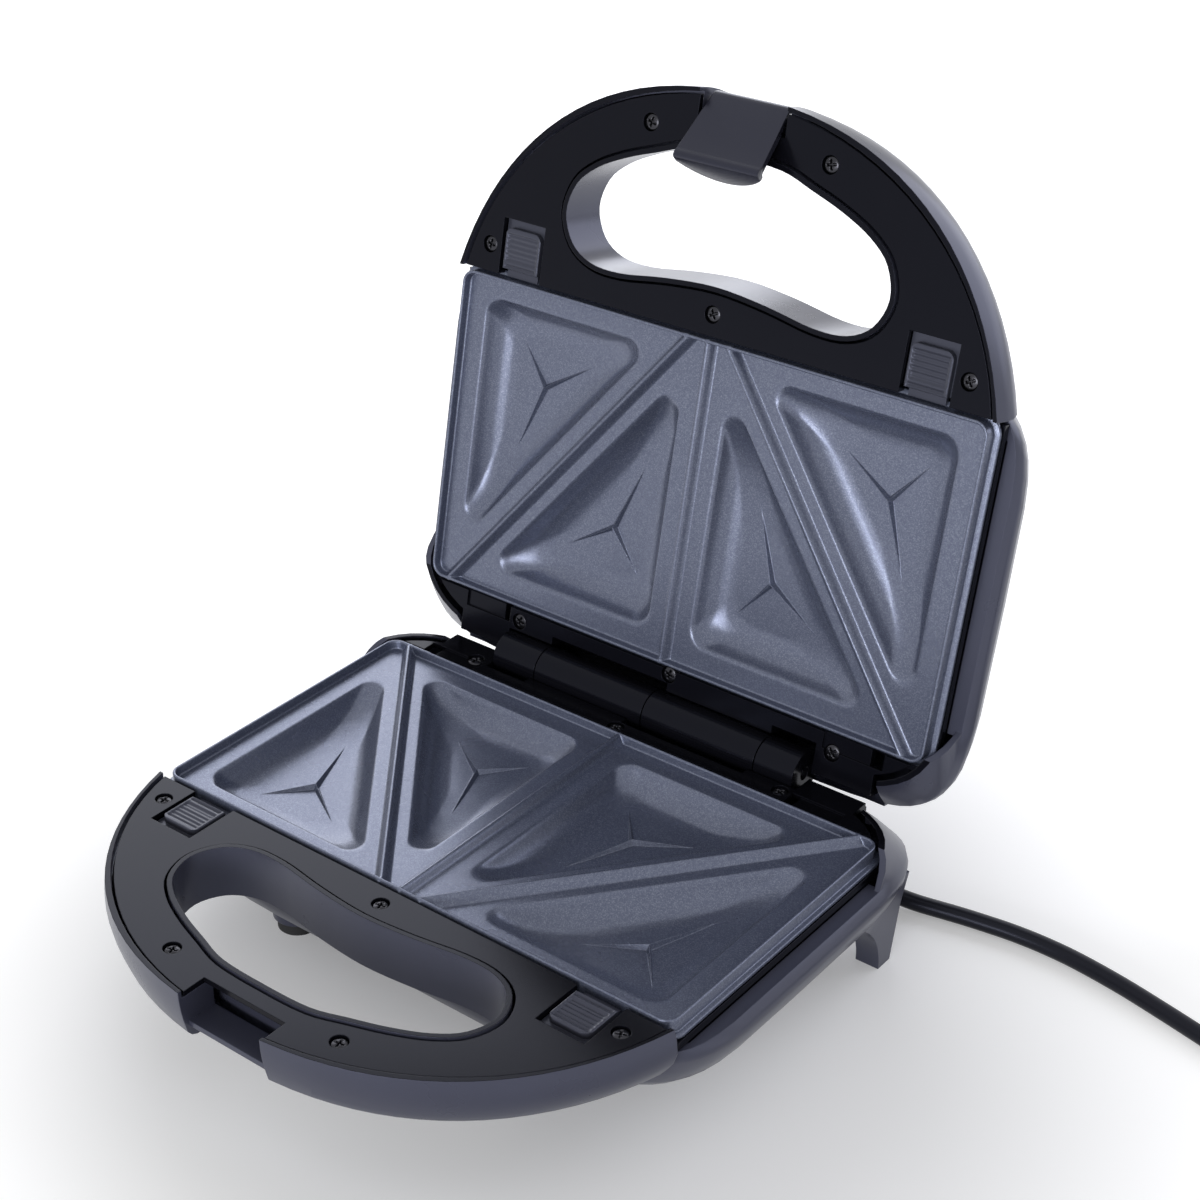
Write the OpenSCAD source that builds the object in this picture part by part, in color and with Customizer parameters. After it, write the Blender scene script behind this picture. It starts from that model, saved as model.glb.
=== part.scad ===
// A two-plate sandwich toaster with its lid held open on the stop.
// Lengths are in millimetres.
// The base and the lid are drawn in one half frame: x across, y back, z the depth away
// from the plane where the plates meet. The base is that frame turned over, and the lid
// is that frame swung up about the hinge.

/* [Plates] */
// Width of a grill plate over its rim.
plate_w = 220; // [216:1:221]
// Front to back size of a grill plate over its rim.
plate_d = 122; // [118:1:122]
// Depth of the flat land inside the rim.
land_d = 3.5; // [3:0.1:4]
// Depth of the pocket floors below the meeting plane.
pocket_floor = 12.1; // [11:0.1:12.6]
// Wall thickness of the cast plate.
plate_t = 1.8; // [1.4:0.1:2]
// Height of the three-way crease above a pocket's floor.
crease_h = 2.6; // [1.5:0.1:3]

/* [Housing] */
// Depth of the front loop that forms the handle.
loop_depth = 20.5; // [19:0.5:22]
// Depth of the body behind the handle.
body_depth = 39.5; // [38:0.5:40]
// Wall thickness of the moulded housing.
wall_t = 2.4; // [2:0.1:2.6]
// Height of the body's underside above the table.
foot_h = 7.5; // [7:0.1:9]

/* [Hinge] */
// Angle between the lid and its closed place.
open_angle = 100.6; // [90:0.1:101]
// Radius of the hinge barrels.
barrel_r = 8.7; // [8:0.1:8.8]
// Radius of the steel hinge pin.
pin_r = 2.5; // [2:0.1:3]

/* [Clip] */
// Width of the front clip.
clip_w = 34; // [32:1:35]
// Thickness of the clip's plate.
clip_t = 2.2; // [1.8:0.1:2.4]

/* [Latches] */
// Width of a plate latch's thumb pad.
pad_w = 16.3; // [15:0.1:16.5]

/* [Cord] */
// Diameter of the mains cord.
cord_dia = 6.2; // [6:0.1:6.2]

/* [Hidden] */

$fn = 48;

// The part's origin is the middle of its footprint, so the half frame moves by this much.
shift_y = 2;

plate_half_w = plate_w / 2;
plate_half_d = plate_d / 2;
hinge_y = plate_half_d + 19;
mate_h = body_depth + foot_h;

// Each half stops this far short of the plane where they meet.
meet_gap = 0.15;

housing_color = [0.16, 0.16, 0.19];
cover_color = [0.08, 0.08, 0.09];
plate_color = [0.42, 0.44, 0.52];
steel_color = [0.7, 0.7, 0.72];
cord_color = [0.12, 0.12, 0.13];

// Rim and groove of the front loop, both as superellipses about their own middles.
rim_a = plate_half_w + 6.9;
rim_b = 126.6;
rim_y = 42.7 - plate_half_d;
rim_n = 2.265;
groove_a = plate_half_w + 2.6;
groove_b = 105.5;
groove_y = 23.2 - plate_half_d;
groove_n = 2.09;
groove_half = 0.5;
front_end = -plate_half_d - 1;
front_steps = 40;

// Plan of the body behind the loop.
pan_y = 2.5;
pan_front = front_end - 10;
pan_n_front = [7, 7, 5.5];
pan_n_rear = [5.2, 8, 6.2];
pan_steps = 56;
side_rim_d = 10;

// Right half of the handle hole's groove line, from the front round to the back. The
// second value is how far in front of the plate each point is.
hole_right = [
    [19, 64.6], [32, 60.6], [45, 56], [57, 50], [65.5, 42], [68.8, 30],
    [64, 18.6], [54, 12.6], [40, 11.8], [20, 14.8]
];
hole_front = 65.4;
hole_rear = 16.4;

// Screw places in the half frame.
screw_spots = [
    [plate_half_w - 10.5, -plate_half_d - 11.2], [10.5 - plate_half_w, -plate_half_d - 11.2],
    [36.1, -plate_half_d - 67.8], [-36.1, -plate_half_d - 67.8], [0, -plate_half_d - 8.9],
    [-65.4, plate_half_d + 5.9], [4.5, plate_half_d + 3.4], [75.4, plate_half_d + 8.2]
];
post_x = plate_half_w - 35;
post_y = plate_half_d - 23;
post_spots = [[post_x, post_y], [-post_x, post_y], [post_x, -post_y], [-post_x, -post_y]];
head_r = 3.0;
screw_r = 1.5;
head_top = 2.2;
head_seat = 4;
boss_end = 6.5;

// The catch recess at the middle of the front edge.
recess_half = clip_w / 2 + 0.5;
recess_back = -plate_half_d - 71.8;
lid_notch_back = -plate_half_d - 72.8;
lip_front = -plate_half_d - 79.5;
lip_top = 13.5;
lip_t = 2;

// How far behind the lip's front the room under it goes: the base's takes the hook.
hook_room = 9.5;
lid_room = 2.5;

// Depth of the inner cover's top and of the room that the housing leaves under it.
cover_top = 1;
cover_under = 3.1;

// The clip's pivot in the half frame, and the angle that it hangs at when the lid is up.
clip_pivot_y = -plate_half_d - 78.5;
clip_pivot_d = 8;
clip_rest = 49.9;
clip_front = 4.1;
clip_top_half = clip_w / 2 - 2;
hook_t = 1.9;
hook_z = -clip_pivot_d - lip_top - lip_t - 0.6;
hook_end = 3.5;
hook_mid = 10.6;
clip_pin_r = 1.5;
clip_pin_half = clip_w / 2 + 2.7;

// Reflector tray and heating element.
tray_half_w = plate_half_w - 7;
tray_half_d = plate_half_d - 4;
tray_t = 0.8;
heater_r = 3.25;
heater_y = plate_half_d - 29;
heater_d = pocket_floor + plate_t + heater_r + 0.2;
tray_floor = heater_d + 5.45;

// Hinge barrels along x in the half frame: the lid's own, then the base's own.
seam = 0.25;
lid_barrels = [[-68.5, -49], [1.5, 50.5]];
base_barrels = [[-48.5, 1], [51, 67]];
trough_own = 9.2;
trough_other = 12.4;
trough_out = 14;

latch_x = plate_half_w - 25.25;
latch_travel = 3;

// Middle of the two ears on a plate's rear edge.
lug_x = plate_half_w - 28;

lamp_x = 11;
lamp_y = 23 - plate_half_d;

foot_x = plate_half_w - 53;
foot_y = 9 - plate_half_d;

cord_r = cord_dia / 2;
cord_sides = 10;

// Where the cord leaves its strain relief, and which way, from the part's origin.
gland_tip = [plate_half_w - 22, shift_y + hinge_y + 5, 8.2];
gland_dir = [0.911, 0.396, -0.115];
gland_len = 22;
gland_r = 4.7;
gland_tip_r = 3.9;
gland_gap = 0.1;

// Route of the free cord to the coil: across and back from the strain relief's tip, and
// the height above the table.
cord_steps = [
    [0, 0, 8.2], [6, 2.1, 6.8], [12, 3.9, 5.2], [18, 5.6, 4], [24, 7.1, 3.4],
    [32, 8.9, 3.3], [39, 10.3, 3.3], [47, 11.6, 3.3], [55, 12.7, 3.3], [63, 13.3, 3.3],
    [70, 13.4, 3.3], [78, 13.1, 3.3], [87, 12.1, 3.3], [96, 10.7, 3.3], [104, 9.2, 3.3],
    [112, 7.4, 3.3], [121, 5.3, 3.3], [130, 3.1, 3.3], [139, 0.9, 3.3], [148, -1.2, 3.3],
    [157, -3.1, 3.6], [166, -4.6, 4.1], [174.5, -5.6, 4.4]
];
cord_route = [for (p = cord_steps) [gland_tip[0] + p[0], gland_tip[1] + p[1], p[2]]];

// The coil holds the length that is put away: two layers, in and then out again.
coil_mid = [gland_tip[0] + 184, gland_tip[1] + 31.8];
coil_r = 38;
coil_turns = 2.5;
coil_pitch = 6.7;
coil_low = 4.4;
coil_start = 265;
coil_rings = 24;
coil_tail = 26;
tail_steps = 6;
plug_h = 18.8;

function lerp(a, b, t) = a + (b - a) * t;
function unit(v) = v / norm(v);
function signed_power(v, p) = sign(v) * pow(abs(v), p);
function left_of(v) = [-v[1], v[0]];

// Points of the rounded front outline from its left end round to its right end.
function front_ring(a, b, mid, n, end_y) =
    let (t0 = asin(pow((mid - end_y) / b, n / 2)))
    [for (i = [0 : front_steps])
        let (t = 180 + t0 + (180 - 2 * t0) * i / front_steps)
        [a * signed_power(cos(t), 2 / n), mid + b * signed_power(sin(t), 2 / n)]];

function rim_ring(grow, side = 0) =
    front_ring(rim_a + grow + side, rim_b + grow, rim_y, rim_n, front_end + min(grow, 0));

function groove_ring(grow) =
    front_ring(groove_a + grow, groove_b + grow, groove_y, groove_n, front_end);

// The loop's wall draws in with depth and then rolls under the handle.
function loop_swell(d) =
    d < 15 ? -2 * pow(d / 15, 2)
    : -2 - 6 * (1 - sqrt(max(0, 1 - pow((d - 15) / (loop_depth - 14.8), 2))));

// Its sides stay fuller than its front as they run back to the body.
function loop_side(d) = 3 * pow(sin(180 * min(d, 20) / 20), 1.5);

// The body's wall swells to its widest and then rounds into the underside.
function body_round(d) = 1 - sqrt(max(0, 1 - pow((d - 12) / (body_depth - 11.9), 2)));
function body_half_w(d) =
    plate_half_w + (d < 10 ? 7.3 + 0.07 * d : d < 15 ? 8 + 2.6 * sin(18 * (d - 10)) : 10.8 - 36 * body_round(d));
function body_rear(d) =
    hinge_y + (d < 10 ? 0.63 * d - 0.3 : d < 15 ? 6 + 0.6 * sin(18 * (d - 10)) : 6.7 - 24 * body_round(d));

// The body's corners are rounder at the rim and low down than where the wall is widest.
function plan_power(d, powers) =
    d < 10 ? lerp(powers[0], powers[1], d / 10)
    : d < 17 ? lerp(powers[1], powers[2], (d - 10) / 7) : powers[2];
function body_front(d) =
    d < 20 ? pan_front
    : pan_front + 20 * (1 - sqrt(max(0, 1 - pow((d - 20) / (body_depth - 19.9), 2))));

// One closed ring of the body's plan at a depth, drawn in by an inset.
function body_ring(d, inset) =
    [for (i = [0 : pan_steps - 1])
        let (
            t = 360 * i / pan_steps,
            rear = sin(t) >= 0,
            n = plan_power(d, rear ? pan_n_rear : pan_n_front),
            b = (rear ? body_rear(d) - pan_y : pan_y - body_front(d)) - inset
        )
        [(body_half_w(d) - inset) * signed_power(cos(t), 2 / n), pan_y + b * signed_power(sin(t), 2 / n)]];

// A smooth closed curve through points, with four steps from each to the next.
function spline_point(p, i, t) =
    let (n = len(p), a = p[(i + n - 1) % n], b = p[i], c = p[(i + 1) % n], d = p[(i + 2) % n])
    0.5 * (2 * b + (c - a) * t + (2 * a - 5 * b + 4 * c - d) * t * t + (3 * b - a - 3 * c + d) * t * t * t);

function closed_spline(p) =
    [for (i = [0 : len(p) - 1]) for (k = [0 : 3]) spline_point(p, i, k / 4)];

function grow_ring(p, g) =
    [for (i = [0 : len(p) - 1])
        let (way = unit(p[(i + 1) % len(p)] - p[(i + len(p) - 1) % len(p)]))
        p[i] - g * left_of(way)];

hole_points = closed_spline(concat(
    [[0, -plate_half_d - hole_front]],
    [for (p = hole_right) [p[0], -plate_half_d - p[1]]],
    [[0, -plate_half_d - hole_rear]],
    [for (i = [len(hole_right) - 1 : -1 : 0]) [-hole_right[i][0], -plate_half_d - hole_right[i][1]]]
));

function with_depth(ring, d) = [for (p = ring) [p[0], p[1], d]];

// A closed skin over rings that all have the same count of points, lowest depth first.
module loft(rings) {
    n = len(rings[0]);
    levels = len(rings);
    points = [for (r = rings) for (p = r) p];
    sides = [for (k = [0 : levels - 2]) for (i = [0 : n - 1]) for (half = [0, 1])
        let (j = (i + 1) % n, a = k * n, b = a + n)
        half == 0 ? [a + i, b + i, b + j] : [a + i, b + j, a + j]];
    polyhedron(
        points = points,
        faces = concat(
            [[for (i = [0 : n - 1]) i]],
            [[for (i = [n - 1 : -1 : 0]) (levels - 1) * n + i]],
            sides
        )
    );
}

module box(x0, x1, y0, y1, z0, z1) {
    translate([x0, y0, z0])
        cube([x1 - x0, y1 - y0, z1 - z0]);
}

module along_x(x0, x1, y, z, r) {
    translate([x0, y, z])
        rotate([0, 90, 0])
            cylinder(r = r, h = x1 - x0);
}

module slab(points, z0, z1) {
    translate([0, 0, z0])
        linear_extrude(height = z1 - z0)
            polygon(points);
}

// Places of the two halves.
module in_base() {
    translate([0, shift_y, mate_h])
        rotate([0, 180, 0])
            children();
}

module in_lid() {
    translate([0, shift_y + hinge_y, mate_h])
        rotate([-open_angle, 0, 0])
            translate([0, -hinge_y, 0])
                children();
}

// The moulded housing, without what differs between base and lid.
module loop_body() {
    loft([for (d = [meet_gap, 4, 8, 12, 15, 17.5, 19.4, loop_depth])
        with_depth(rim_ring(loop_swell(d), loop_side(d)), d)]);
}

module loop_cavity() {
    loft([for (d = [2.9, 8, 12, 15, loop_depth - wall_t])
        with_depth(rim_ring(loop_swell(min(d, 16)) - wall_t, loop_side(d)), d)]);
    slab(groove_ring(groove_half), -1, cover_under);
}

module pan_body() {
    loft([for (d = [meet_gap, 5, 10, 12.5, 15, 20, 26, 31, 35, body_depth - 1.5, body_depth])
        with_depth(body_ring(d, 0), d)]);
}

module pan_cavity() {
    inner_depth = body_depth - wall_t;
    loft([for (d = [-1, 3, 10, 15, 20, 26, 31, 35, inner_depth])
        with_depth(body_ring(max(0, d) * body_depth / inner_depth, wall_t), d)]);
}

// The body's side rims sit lower than the loop's, with a ramp up to the rear corners.
module side_rim_cut() {
    rotate([90, 0, 90])
        translate([0, 0, -150])
            linear_extrude(height = 300)
                polygon([
                    [front_end, -2], [front_end, side_rim_d],
                    [plate_half_d - 13, side_rim_d], [plate_half_d - 1, -2]
                ]);
}

module recess_cut(back_y, room) {
    box(-recess_half, recess_half, -200, back_y, -2, lip_top);
    box(-recess_half, recess_half, -200, lip_front, -2, 30);
    box(-recess_half, recess_half, -200, lip_front + room, lip_top + lip_t, 30);
}

module recess_walls(room) {
    intersection() {
        loop_body();
        union() {
            box(-recess_half - 2.6, recess_half + 2.6, lip_front, lip_front + 11, lip_top, lip_top + lip_t);
            translate([0, lip_front + room, 0])
                box(-recess_half - 2.6, recess_half + 2.6, 0, 2.2, lip_top + 1, loop_depth);
            for (side = [-1, 1])
                translate([side * (recess_half + 1.3), 0, 0])
                    box(-1.3, 1.3, -200, recess_back + 3.3, cover_under, loop_depth);
        }
    }
}

module housing(barrels, back_y, room) {
    difference() {
        union() {
            difference() {
                union() {
                    loop_body();
                    pan_body();
                    children();
                }
                loop_cavity();
                pan_cavity();
                side_rim_cut();
                box(15 - plate_half_w, plate_half_w - 15, plate_half_d + 5, 200, -2, 10);
            }
            side_flanges();
            slab(grow_ring(hole_points, -groove_half), 0.3, loop_depth);
            recess_walls(room);
            rear_ledge();
            screw_posts();
            for (b = barrels) {
                along_x(b[0], b[1], hinge_y, 0, barrel_r);
                box(b[0], b[1], hinge_y, hinge_y + 6, 4, 16);
            }
        }
        slab(grow_ring(hole_points, -groove_half - 1.8), -2, body_depth + 10);
        recess_cut(back_y, room);
        post_bores();
    }
}

module side_flanges() {
    intersection() {
        pan_body();
        for (side = [-1, 1])
            translate([side * (plate_half_w + 6.5), 0, 0])
                box(-3.9, 3.9, front_end + 2, plate_half_d - 11, side_rim_d, side_rim_d + wall_t);
    }
}

module rear_ledge() {
    half = plate_half_w - 15;
    box(-half, half, hinge_y, hinge_y + 5, side_rim_d, side_rim_d + 2);
    box(-half, half, hinge_y, hinge_y + 1.6, side_rim_d, trough_out + 0.4);
}

module screw_posts() {
    difference() {
        for (s = screw_spots)
            translate([s[0], s[1], boss_end])
                cylinder(r = 4, h = (s[1] < front_end ? loop_depth - 1 : body_depth - 2) - boss_end);
        along_x(-200, 200, hinge_y, 0, trough_out + 0.3);
    }
    for (s = post_spots)
        translate([s[0], s[1], tray_floor + tray_t])
            cylinder(r = 4, h = body_depth - 1 - tray_floor - tray_t);
}

module post_bores() {
    for (s = screw_spots)
        translate([s[0], s[1], -2])
            cylinder(r = screw_r + 0.05, h = 20);
    for (s = post_spots)
        translate([s[0], s[1], tray_floor])
            cylinder(r = screw_r + 0.05, h = 10);
}

// A rear leg grows out of the side wall, with an arch in front of it.
module rear_leg(side) {
    difference() {
        translate([side > 0 ? plate_half_w - 2 : -plate_half_w - 7, hinge_y, 0])
            rotate([90, 0, 90])
                linear_extrude(height = 9)
                    polygon([
                        [-52, 14], [-52, body_depth + 0.5], [-30, mate_h], [-18, mate_h], [-14, 25], [-10, 14]
                    ]);
        along_x(-200, 200, hinge_y - 54, mate_h, 28.5);
    }
}

// The boss that the cord's sleeve stands in, drawn in the half frame.
module cord_boss() {
    rotate([0, 180, 0])
        translate([0, -shift_y, -mate_h])
            aim(gland_tip - gland_dir * (gland_len + 28), gland_dir)
                cylinder(r = 8.5, h = 28);
}

// Turns a shape that stands along z to point along a direction, at a place.
module aim(place, way) {
    translate(place)
        rotate([0, acos(way[2] / norm(way)), atan2(way[1], way[0])])
            children();
}

module base_shell() {
    color(housing_color)
        difference() {
            union() {
                in_base()
                    housing([[-1, 48.5], [-67, -51]], recess_back, hook_room) {
                        rear_leg(-1);
                        rear_leg(1);
                        cord_boss();
                    }
                in_base()
                    for (side = [-1, 1])
                        translate([side * foot_x, foot_y, body_depth - 8])
                            cylinder(r = 9, h = 10.5);
            }
            in_base()
                for (side = [-1, 1])
                    translate([side * foot_x, foot_y, body_depth - 1])
                        cylinder(r = 3, h = 10);
            translate([0, shift_y, mate_h])
                along_x(-50, 70, hinge_y, 0, pin_r);
            aim(gland_tip - gland_dir * (gland_len + 29), gland_dir)
                cylinder(r = gland_r + gland_gap, h = gland_len + 28);
        }
}

module lid_shell() {
    color(housing_color)
        in_lid()
            difference() {
                housing(lid_barrels, lid_notch_back, lid_room);
                along_x(-65.5, 60, hinge_y, 0, pin_r + 0.08);
                along_x(-clip_pin_half - 0.2, clip_pin_half + 0.2, clip_pivot_y, clip_pivot_d, clip_pin_r);
                for (side = [-1, 1])
                    translate([side * lamp_x, lamp_y, body_depth - 8])
                        cylinder(r = 3.2, h = 12);
            }
}

// The inner cover is one moulding, used in both halves. It stays clear of the plate by
// plate_gap, and a wall runs round that gap.
plate_gap = 1.3;
wall_in = plate_half_d + plate_gap;
wall_out = wall_in + 2;

module cover_plan() {
    difference() {
        union() {
            polygon(groove_ring(-groove_half));
            difference() {
                polygon(body_ring(0, 3.2));
                translate([-200, -200])
                    square([400, 200 + plate_half_d]);
            }
            translate([17 - plate_half_w, plate_half_d])
                square([2 * plate_half_w - 34, 18]);
        }
        polygon(grow_ring(hole_points, groove_half));
        translate([-200, -plate_half_d - plate_gap])
            square([400, plate_d + 2 * plate_gap]);
    }
}

module trough_cuts(extra) {
    along_x(-69.5, -48.75, hinge_y, 0, trough_own + extra);
    along_x(-49, 4.6, hinge_y, 0, trough_other + extra);
    along_x(4.4, 50.75, hinge_y, 0, trough_own + extra);
    along_x(50.5, 69, hinge_y, 0, trough_other + extra);
}

module inner_cover(back_y) {
    difference() {
        union() {
            translate([0, 0, cover_top])
                linear_extrude(height = 2)
                    cover_plan();
            box(9.2 - plate_half_w, plate_half_w - 9.2, -wall_out, -wall_in, 2, 9.8);
            for (side = [-1, 1])
                translate([side * (plate_half_w - 11.2), 0, 0]) {
                    box(-2, 2, -wall_out, 4 - plate_half_d, 6.8, 9.8);
                    box(side > 0 ? -2 : -6, side > 0 ? 6 : 2, 1 - plate_half_d, 4 - plate_half_d, 6.8, 9.8);
                }
            box(1.5 - plate_half_w, plate_half_w - 1.5, wall_in, wall_out, 2, 9.8);
            for (side = [-1, 1])
                translate([side * (plate_half_w - 1.8), 0, 0])
                    box(-4.1, 4.1, 1 - plate_half_d, plate_half_d - 1, 6.8, 9.8);
            for (side = [-1, 1])
                translate([side * (plate_half_w - 3.7), 0, 0])
                    box(-2.2, 2.2, 1 - wall_in, wall_out, 6.8, 9.8);
            for (side = [-1, 1])
                translate([side * 81.5, 0, 0])
                    box(-11.5, 11.5, hinge_y - 2.4, hinge_y - 0.3, 2.8, 11.6);
            intersection() {
                along_x(-70.5, 70.5, hinge_y, 0, trough_out);
                box(-80, 80, plate_half_d - 1, hinge_y - 0.3, 1, 20);
            }
            for (s = screw_spots)
                translate([s[0], s[1], 2])
                    cylinder(r = 4.6, h = boss_end - 2);
            for (lug = [[-lug_x - 9, 9 - lug_x], [lug_x - 10.4, lug_x + 8.4]])
                box(lug[0], lug[1], plate_half_d + 1.6, plate_half_d + 8, 2, 4.9);
            for (side = [-1, 1])
                translate([side * latch_x, 0, 0])
                    latch_rails();
        }
        trough_cuts(0);
        for (s = screw_spots)
            translate([s[0], s[1], -1]) {
                cylinder(r = head_r + 0.15, h = 1 + head_seat);
                cylinder(r = screw_r + 0.2, h = 20);
                translate([0, 0, boss_end + 1])
                    cylinder(r = 4.3, h = 20);
            }
        box(-20, 20, 0, plate_half_d + 0.4, 0, 9.8);
        for (lug = [[-lug_x - 9.3, 12 - lug_x], [lug_x - 10.7, lug_x + 13.8]])
            box(lug[0], lug[1], plate_half_d, plate_half_d + 7.4, -1, 1.9);
        box(9 - lug_x, 12 - lug_x, plate_half_d, plate_half_d + 7.4, 1, 6);
        box(lug_x + 8.4, lug_x + 13.8, plate_half_d, plate_half_d + 7.4, 1, 6);
        for (side = [-1, 1])
            translate([side * lug_x, 0, 0])
                box(-7, 7, plate_half_d, plate_half_d + 4, 4.9, 7.4);
        for (side = [-1, 1])
            translate([side * latch_x, -plate_half_d, 0]) {
                box(-9.5, 9.5, -19.3 - latch_travel, 0, -1, 3.1);
                box(-9.5, 9.5, -4, 0, 1, 7.4);
            }
        box(-recess_half, recess_half, -200, back_y, -2, 8);
    }
}

module latch_rails() {
    for (turned = [0, 1])
        mirror([turned, 0, 0]) {
            box(9.6, 11, -plate_half_d - 29, -plate_half_d - 4, 2.8, boss_end);
            box(8.2, 11, -plate_half_d - 29, -plate_half_d - 4, 5.3, boss_end);
        }
}

// A plate latch slides forward under the cover to let the plate go.
module latch() {
    difference() {
        union() {
            translate([0, 0, 0.9])
                linear_extrude(height = 2.6)
                    pad_outline(pad_w / 2, -19, -3.8, 3);
            box(-9.2, 9.2, -25, -3.8, 3.3, 5);
            box(-7, 7, -5, -0.7, 3.3, 5);
        }
        translate([0, 0, 0.8])
            linear_extrude(height = 0.7)
                pad_outline(pad_w / 2 - 1.2, -17.6, -5.2, 2.2);
    }
    for (i = [0 : 4])
        translate([0, -15.6 + i * 2.2, 1.4])
            rotate([0, 90, 0])
                cylinder(r = 0.55, h = pad_w - 4.4, center = true, $fn = 16);
}

module pad_outline(half, y0, y1, r) {
    translate([-half, y0 + r])
        square([2 * half, y1 - y0 - r]);
    translate([-half + r, y0])
        square([2 * half - 2 * r, r]);
    for (side = [-1, 1])
        translate([side * (half - r), y0 + r])
            circle(r = r);
}

// Half sizes of the plate that the pockets below were measured on.
drawn_half_w = 110;
drawn_half_d = 61;

function on_plate(p) = [p[0] * plate_half_w / drawn_half_w, p[1] * plate_half_d / drawn_half_d];

// Three corners of an outer pocket, with the radius of each.
pocket_corners = [on_plate([-99.6, -52.3]), on_plate([-24.3, -52.3]), on_plate([-99.6, 44.2])];
pocket_radii = [7, 5, 5];
pocket_turn_mid = on_plate([-54.6, -0.7]);
crease_mid = on_plate([-74.2, -22.5]);
crease_tips = [on_plate([-87.1, -38.3]), on_plate([-54.4, -35.1]), on_plate([-85.5, 7.6])];
corner_steps = 7;

function pocket_ring(inset, d) =
    [for (k = [0 : 2])
        let (
            v = pocket_corners[k],
            to_last = unit(pocket_corners[(k + 2) % 3] - v),
            to_next = unit(pocket_corners[(k + 1) % 3] - v),
            half = acos(to_last * to_next) / 2,
            r = pocket_radii[k] + 0.3 * inset,
            mid = v + unit(to_last + to_next) * (r + inset) / sin(half),
            first = atan2(to_last[0], -to_last[1]),
            sweep = 180 - 2 * half
        )
        for (i = [0 : corner_steps])
            let (a = first + sweep * i / corner_steps)
            [mid[0] + r * cos(a), mid[1] + r * sin(a), d]];

pocket_insets = [0, 1.2, 3, 5.5, 8.5, 12];
function pocket_depth_at(i) = lerp(land_d, pocket_floor, [0, 0.29, 0.6, 0.83, 0.955, 1][i]);

module pocket(grow) {
    top = grow > 0 ? 0.8 : -0.1;
    loft([for (i = [0 : 5])
        pocket_ring(pocket_insets[i] - grow, pocket_depth_at(i) + grow + (i == 0 ? top - grow : 0))]);
}

module crease() {
    outline = [for (k = [0 : 2]) for (part = [0, 1])
        part == 0 ? crease_tips[k]
        : crease_mid + 1.5 * unit(unit(crease_tips[k] - crease_mid) + unit(crease_tips[(k + 1) % 3] - crease_mid))];
    top = with_depth(outline, pocket_floor + 0.05);
    low = with_depth(outline, pocket_floor + 0.9);
    peak = [[crease_mid[0], crease_mid[1], pocket_floor - crease_h]];
    polyhedron(
        points = concat(peak, top, low),
        faces = concat(
            [for (i = [0 : 5]) [0, 1 + i, 1 + (i + 1) % 6]],
            [for (i = [0 : 5]) [1 + i, 7 + i, 7 + (i + 1) % 6, 1 + (i + 1) % 6]],
            [[for (i = [5 : -1 : 0]) 7 + i]]
        )
    );
}

module four_pockets() {
    for (side = [0, 1])
        mirror([side, 0, 0]) {
            children();
            translate([2 * pocket_turn_mid[0], 2 * pocket_turn_mid[1], 0])
                rotate([0, 0, 180])
                    children();
        }
}

module seal_ridge(x0, y0, x1, y1) {
    length = norm([x1 - x0, y1 - y0]);
    translate([x0, y0, 0])
        rotate([0, 0, atan2(y1 - y0, x1 - x0)])
            rotate([90, 0, 90])
                translate([0, 0, -6])
                    linear_extrude(height = length + 12)
                        polygon([[-2.5, land_d + 0.3], [-0.6, 0.2], [0.6, 0.2], [2.5, land_d + 0.3]]);
}

module rounded_plan(half_w, half_d, r) {
    square([2 * half_w - 2 * r, 2 * half_d], center = true);
    square([2 * half_w, 2 * half_d - 2 * r], center = true);
    for (sx = [-1, 1])
        for (sy = [-1, 1])
            translate([sx * (half_w - r), sy * (half_d - r)])
                circle(r = r);
}

module grill_plate() {
    difference() {
        union() {
            translate([0, 0, meet_gap])
                linear_extrude(height = land_d + plate_t - meet_gap)
                    rounded_plan(plate_half_w, plate_half_d, 5);
            translate([0, 0, 5])
                linear_extrude(height = 1.5)
                    difference() {
                        rounded_plan(plate_half_w + 2, plate_half_d, 5);
                        rounded_plan(plate_half_w - 2, plate_half_d - 2, 4);
                    }
            four_pockets()
                pocket(plate_t);
            for (side = [-1, 1]) {
                translate([side * latch_x, 0, 0])
                    box(-6, 6, -plate_half_d - 2.6, 3 - plate_half_d, 5.2, 7);
                translate([side * lug_x, 0, 0])
                    box(-6, 6, plate_half_d - 3, plate_half_d + 2.8, 5.2, 7);
            }
        }
        difference() {
            translate([0, 0, -1])
                linear_extrude(height = land_d + 1)
                    rounded_plan(plate_half_w - 1.4, plate_half_d - 1.4, 3.8);
            ridge_y = plate_half_d - 2.3;
            seal_ridge(0, -ridge_y, 0, ridge_y);
            for (side = [-1, 1])
                seal_ridge(side * 9.5, -ridge_y, side * (plate_half_w - 9.5), ridge_y);
        }
        four_pockets()
            pocket(0);
    }
    four_pockets()
        crease();
}

// The tubular element runs out and back under the pockets, in one bend.
module heater() {
    for (side = [-1, 1]) {
        along_x(32 - plate_half_w, plate_half_w - 60, side * heater_y, heater_d, heater_r);
        along_x(18 - plate_half_w, 32 - plate_half_w, side * heater_y, heater_d, 1.6);
    }
    translate([plate_half_w - 60, 0, heater_d])
        rotate([0, 0, -90])
            rotate_extrude(angle = 180)
                translate([heater_y, 0])
                    circle(r = heater_r);
}

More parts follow.
